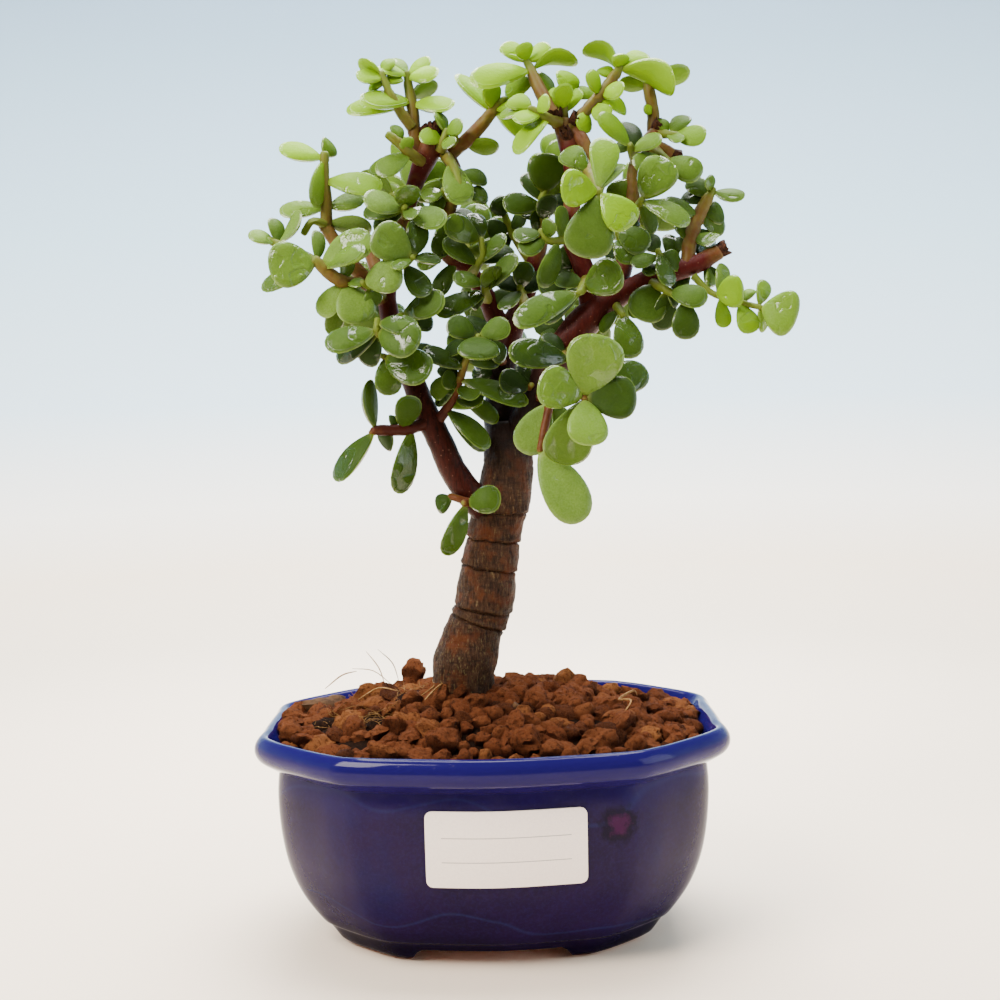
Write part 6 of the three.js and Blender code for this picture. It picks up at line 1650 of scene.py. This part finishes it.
def drawn_shoot(name, shoot, balls, thickness, chance):
    """The stems and the leaves of a shoot that is laid out on the drawing plane."""
    drawn_stems, drawn_leaves = shoot
    stems = [
        limb(f"{name}_stem", in_space(layout), STEM_SIDES, STEM_SPACING, stem_relief)
        for layout in (*drawn_stems, *EXTRA_STEMS.get(name, ()))
    ]
    leaves = []
    tones = LEAF_TONES.get(name, ())
    for i, (foot_x, foot_z, tip_x, tip_z, back, width, lean, *arch) in enumerate(drawn_leaves):
        foot = nearest_on_stems(drawn_stems, foot_x, foot_z)
        drawn_width = LEAF_FULLNESS * width * nearness(foot.y)
        tip = seen(tip_x, tip_z, foot.y + back)
        axis = (tip - foot).normalized()
        normal = leaned_normal(foot, axis, lean)
        leaves.append(leaf(
            balls, foot + axis * LEAF_START, tip, normal, drawn_width, arch[0] if arch else LEAF_ARCH,
            SHOOT_TAPERS.get(name, TAPER), thickness,
            tones[i] if i < len(tones) else leaf_tone(name, tip_z, max(back, 0), chance), chance,
        ))
    for foot_x, foot_z, depth, tip_x, tip_z, back, width, lean, tone in EXTRA_LEAVES.get(name, ()):
        foot = seen(foot_x, foot_z, depth)
        tip = seen(tip_x, tip_z, depth + back)
        normal = leaned_normal(foot, (tip - foot).normalized(), lean)
        drawn_width = LEAF_FULLNESS * width * nearness(depth)
        leaves.append(leaf(balls, foot, tip, normal, drawn_width, LEAF_ARCH, TAPER, thickness, tone, chance))
    return stems, leaves


def repeatable(seed):
    """The run of random numbers from 0 to 1 that the back shoots' solids were grown with."""
    state = seed
    while True:
        state = (state * 16807) % 2147483647
        yield state / 2147483647


def at_length(knots, share):
    """The point at a share of the length of the smooth line through knots."""
    line = [Vector(smooth_line(knots, i / 400)[:3]) for i in range(401)]
    lengths = [0.0]
    for a, b in zip(line, line[1:]):
        lengths.append(lengths[-1] + (b - a).length)
    return next(point for point, length in zip(line, lengths) if length >= share * lengths[-1])


def back_shoot(name, rule, balls, thickness, chance):
    """The stem and the leaves of a shoot behind the crown, grown by rule from a point of a limb."""
    limb_name, start_share, aim, length, pairs = rule
    draw = repeatable(round(1000 * start_share) + 97 * pairs)
    start = at_length(in_space(LIMBS[limb_name]), start_share)
    onward = Vector(aim).normalized()
    level = Vector((0, 0, 1)).cross(onward).normalized()
    bend = Vector((next(draw) - 0.5, 0, 0.6)) * (length * 0.3)

    def stem_point(at):
        return start + onward * (length * at) + bend * at * at

    leaves = []
    for pair in range(pairs):
        foot = stem_point(0.25 + 0.74 * (pair + 1) / pairs)
        for half in (0.0, math.pi):
            turn = half + (pair % 2) * math.pi / 2 + (next(draw) - 0.5) * 0.7
            out = Matrix.Rotation(turn, 3, onward) @ level
            axis = (out + onward * (0.4 + 0.4 * next(draw))).normalized()
            tip = foot + axis * (BACK_LEAF_LENGTH * (0.8 + 0.35 * next(draw)))
            normal = (onward - axis * onward.dot(axis)).normalized()
            width = BACK_LEAF_WIDTH * (0.85 + 0.3 * next(draw))
            leaves.append(leaf(
                balls, foot + axis * LEAF_START, tip, normal, width, LEAF_ARCH, TAPER, thickness,
                leaf_tone(name, tip.z, 0, chance), chance,
            ))
    knots = [(*stem_point(at), radius) for at, radius in BACK_STEM]
    return [limb(f"{name}_stem", knots, STEM_SIDES, STEM_SPACING, stem_relief)], leaves


class BONSAI_OT_shoots(bpy.types.Operator):
    """Grow every leafy shoot where its solid stands"""
    bl_idname = "bonsai.shoots"
    bl_label = "Leafy shoots"

    def execute(self, context):
        settings = context.scene.bonsai_plant
        thickness = settings.leaf_thickness / MM
        chance = random.Random(LEAF_SEED)
        balls = {False: leaf_ball(20, 4), True: leaf_ball(32, 6)}
        leaf_finish, stem_finish = leaf_skin(settings), stem_skin(settings)
        grown = {name: drawn_shoot(name, shoot, balls, thickness, chance) for name, shoot in SHOOTS.items()}
        for name, rule in BACK_SHOOTS.items():
            grown[name] = back_shoot(name, rule, balls, thickness, chance)
        for name, (stems, leaves) in grown.items():
            stem = joined(stems, f"{name}_stem")
            stem.data.materials.append(stem_finish)
            foliage = joined(leaves, f"{name}_leaves")
            foliage.data.materials.append(leaf_finish)
            shoot = joined([stem, foliage], f"leafy_{name}")
            set_smooth(shoot, 70)
            settle(shoot, "leaf", f"shoot_{name}")
        for ball in balls.values():
            bpy.data.objects.remove(ball)
        return {"FINISHED"}


# ---------------------------------------------------------------- stage


def soft_light(name, spot, aim, width, power, colour):
    """A square soft box that shines from a spot towards another, in millimetres."""
    lamp = bpy.data.lights.new(name, "AREA")
    lamp.size = width * MM
    lamp.energy = power
    lamp.color = linear(colour)[:3]
    light = bpy.data.objects.new(name, lamp)
    light.location = place(*spot)
    light.rotation_euler = (place(*aim) - light.location).to_track_quat("-Z", "Y").to_euler()
    bpy.context.scene.collection.objects.link(light)


class BONSAI_OT_stage(bpy.types.Operator):
    """Set up the paper surround, the soft boxes and the camera"""
    bl_idname = "bonsai.stage"
    bl_label = "Stage"

    def execute(self, context):
        deselect()
        bpy.ops.mesh.primitive_grid_add(x_subdivisions=96, y_subdivisions=48, size=2)
        bowl = context.object
        bowl.name = "paper_surround"
        for corner in bowl.data.vertices:
            turn, along = math.pi * corner.co.x, (1 + corner.co.y) / 2 * PAPER_LENGTH
            bend = min(max((along - FLOOR_RADIUS) / COVE_RADIUS, 0.0), math.pi / 2)
            rise = max(along - FLOOR_RADIUS - COVE_RADIUS * math.pi / 2, 0.0)
            out = min(along, FLOOR_RADIUS) + COVE_RADIUS * math.sin(bend)
            height = COVE_RADIUS * (1 - math.cos(bend)) + rise - FLOOR_BELOW
            corner.co = place(out * math.cos(turn), out * math.sin(turn), height)
        bpy.ops.object.mode_set(mode="EDIT")
        bpy.ops.mesh.select_all(action="SELECT")
        bpy.ops.mesh.remove_doubles(threshold=0.01 * MM)
        bpy.ops.mesh.normals_make_consistent(inside=True)
        bpy.ops.object.mode_set(mode="OBJECT")
        set_smooth(bowl, 40)
        bowl.data.materials.append(studio_paper())

        for box in SOFT_BOXES:
            soft_light(*box)
        world = bpy.data.worlds.new("studio_air")
        world.use_nodes = True
        air = world.node_tree.nodes["Background"]
        air.inputs["Color"].default_value = linear("#E8F0F6")
        air.inputs["Strength"].default_value = AIR_STRENGTH
        context.scene.world = world

        lens = bpy.data.cameras.new("camera")
        lens.lens = CAMERA_LENS
        lens.sensor_width = CAMERA_SENSOR
        lens.clip_start = CAMERA_NEAR * MM
        camera = bpy.data.objects.new("camera", lens)
        forward = Vector((0, math.cos(CAMERA_PITCH), -math.sin(CAMERA_PITCH)))
        level_up = Vector((0, math.sin(CAMERA_PITCH), math.cos(CAMERA_PITCH)))
        right = Vector((math.cos(CAMERA_ROLL), 0, 0)) + level_up * math.sin(CAMERA_ROLL)
        up = right.cross(forward)
        turn = Matrix((right, up, -forward)).transposed().to_4x4()
        camera.matrix_world = Matrix.Translation(place(*VIEWPOINT)) @ turn
        context.scene.collection.objects.link(camera)
        context.scene.camera = camera
        return {"FINISHED"}


# ---------------------------------------------------------------- sidebar and start


class BONSAI_PT_sidebar(bpy.types.Panel):
    """The bonsai's settings, and a button for each of its pieces"""
    bl_idname = "BONSAI_PT_sidebar"
    bl_label = "Dwarf jade bonsai"
    bl_space_type = "VIEW_3D"
    bl_region_type = "UI"
    bl_category = "Bonsai"

    def draw(self, context):
        for settings in (context.scene.bonsai_pot, context.scene.bonsai_soil, context.scene.bonsai_plant):
            box = self.layout.box()
            for key in settings.bl_rna.properties.keys():
                if key not in ("rna_type", "name"):
                    box.prop(settings, key)
        for step in PIECES:
            self.layout.operator(step.bl_idname)


PIECES = (
    BONSAI_OT_stage, BONSAI_OT_pot, BONSAI_OT_label, BONSAI_OT_drain_mesh, BONSAI_OT_soil, BONSAI_OT_wood,
    BONSAI_OT_shoots,
)
CLASSES = (BonsaiPotSettings, BonsaiSoilSettings, BonsaiPlantSettings, *PIECES, BONSAI_PT_sidebar)


def register():
    """Adds the settings, the pieces' operators and the sidebar to Blender."""
    for part in CLASSES:
        bpy.utils.register_class(part)
    bpy.types.Scene.bonsai_pot = bpy.props.PointerProperty(type=BonsaiPotSettings)
    bpy.types.Scene.bonsai_soil = bpy.props.PointerProperty(type=BonsaiSoilSettings)
    bpy.types.Scene.bonsai_plant = bpy.props.PointerProperty(type=BonsaiPlantSettings)


def unregister():
    """Takes them out again."""
    del bpy.types.Scene.bonsai_plant
    del bpy.types.Scene.bonsai_soil
    del bpy.types.Scene.bonsai_pot
    for part in reversed(CLASSES):
        bpy.utils.unregister_class(part)


def main():
    """Makes the whole bonsai."""
    register()
    bpy.ops.bonsai.stage()
    bpy.ops.bonsai.pot()
    bpy.ops.bonsai.label()
    bpy.ops.bonsai.drain_mesh()
    bpy.ops.bonsai.soil()
    bpy.ops.bonsai.wood()
    bpy.ops.bonsai.shoots()


if __name__ == "__main__":
    main()
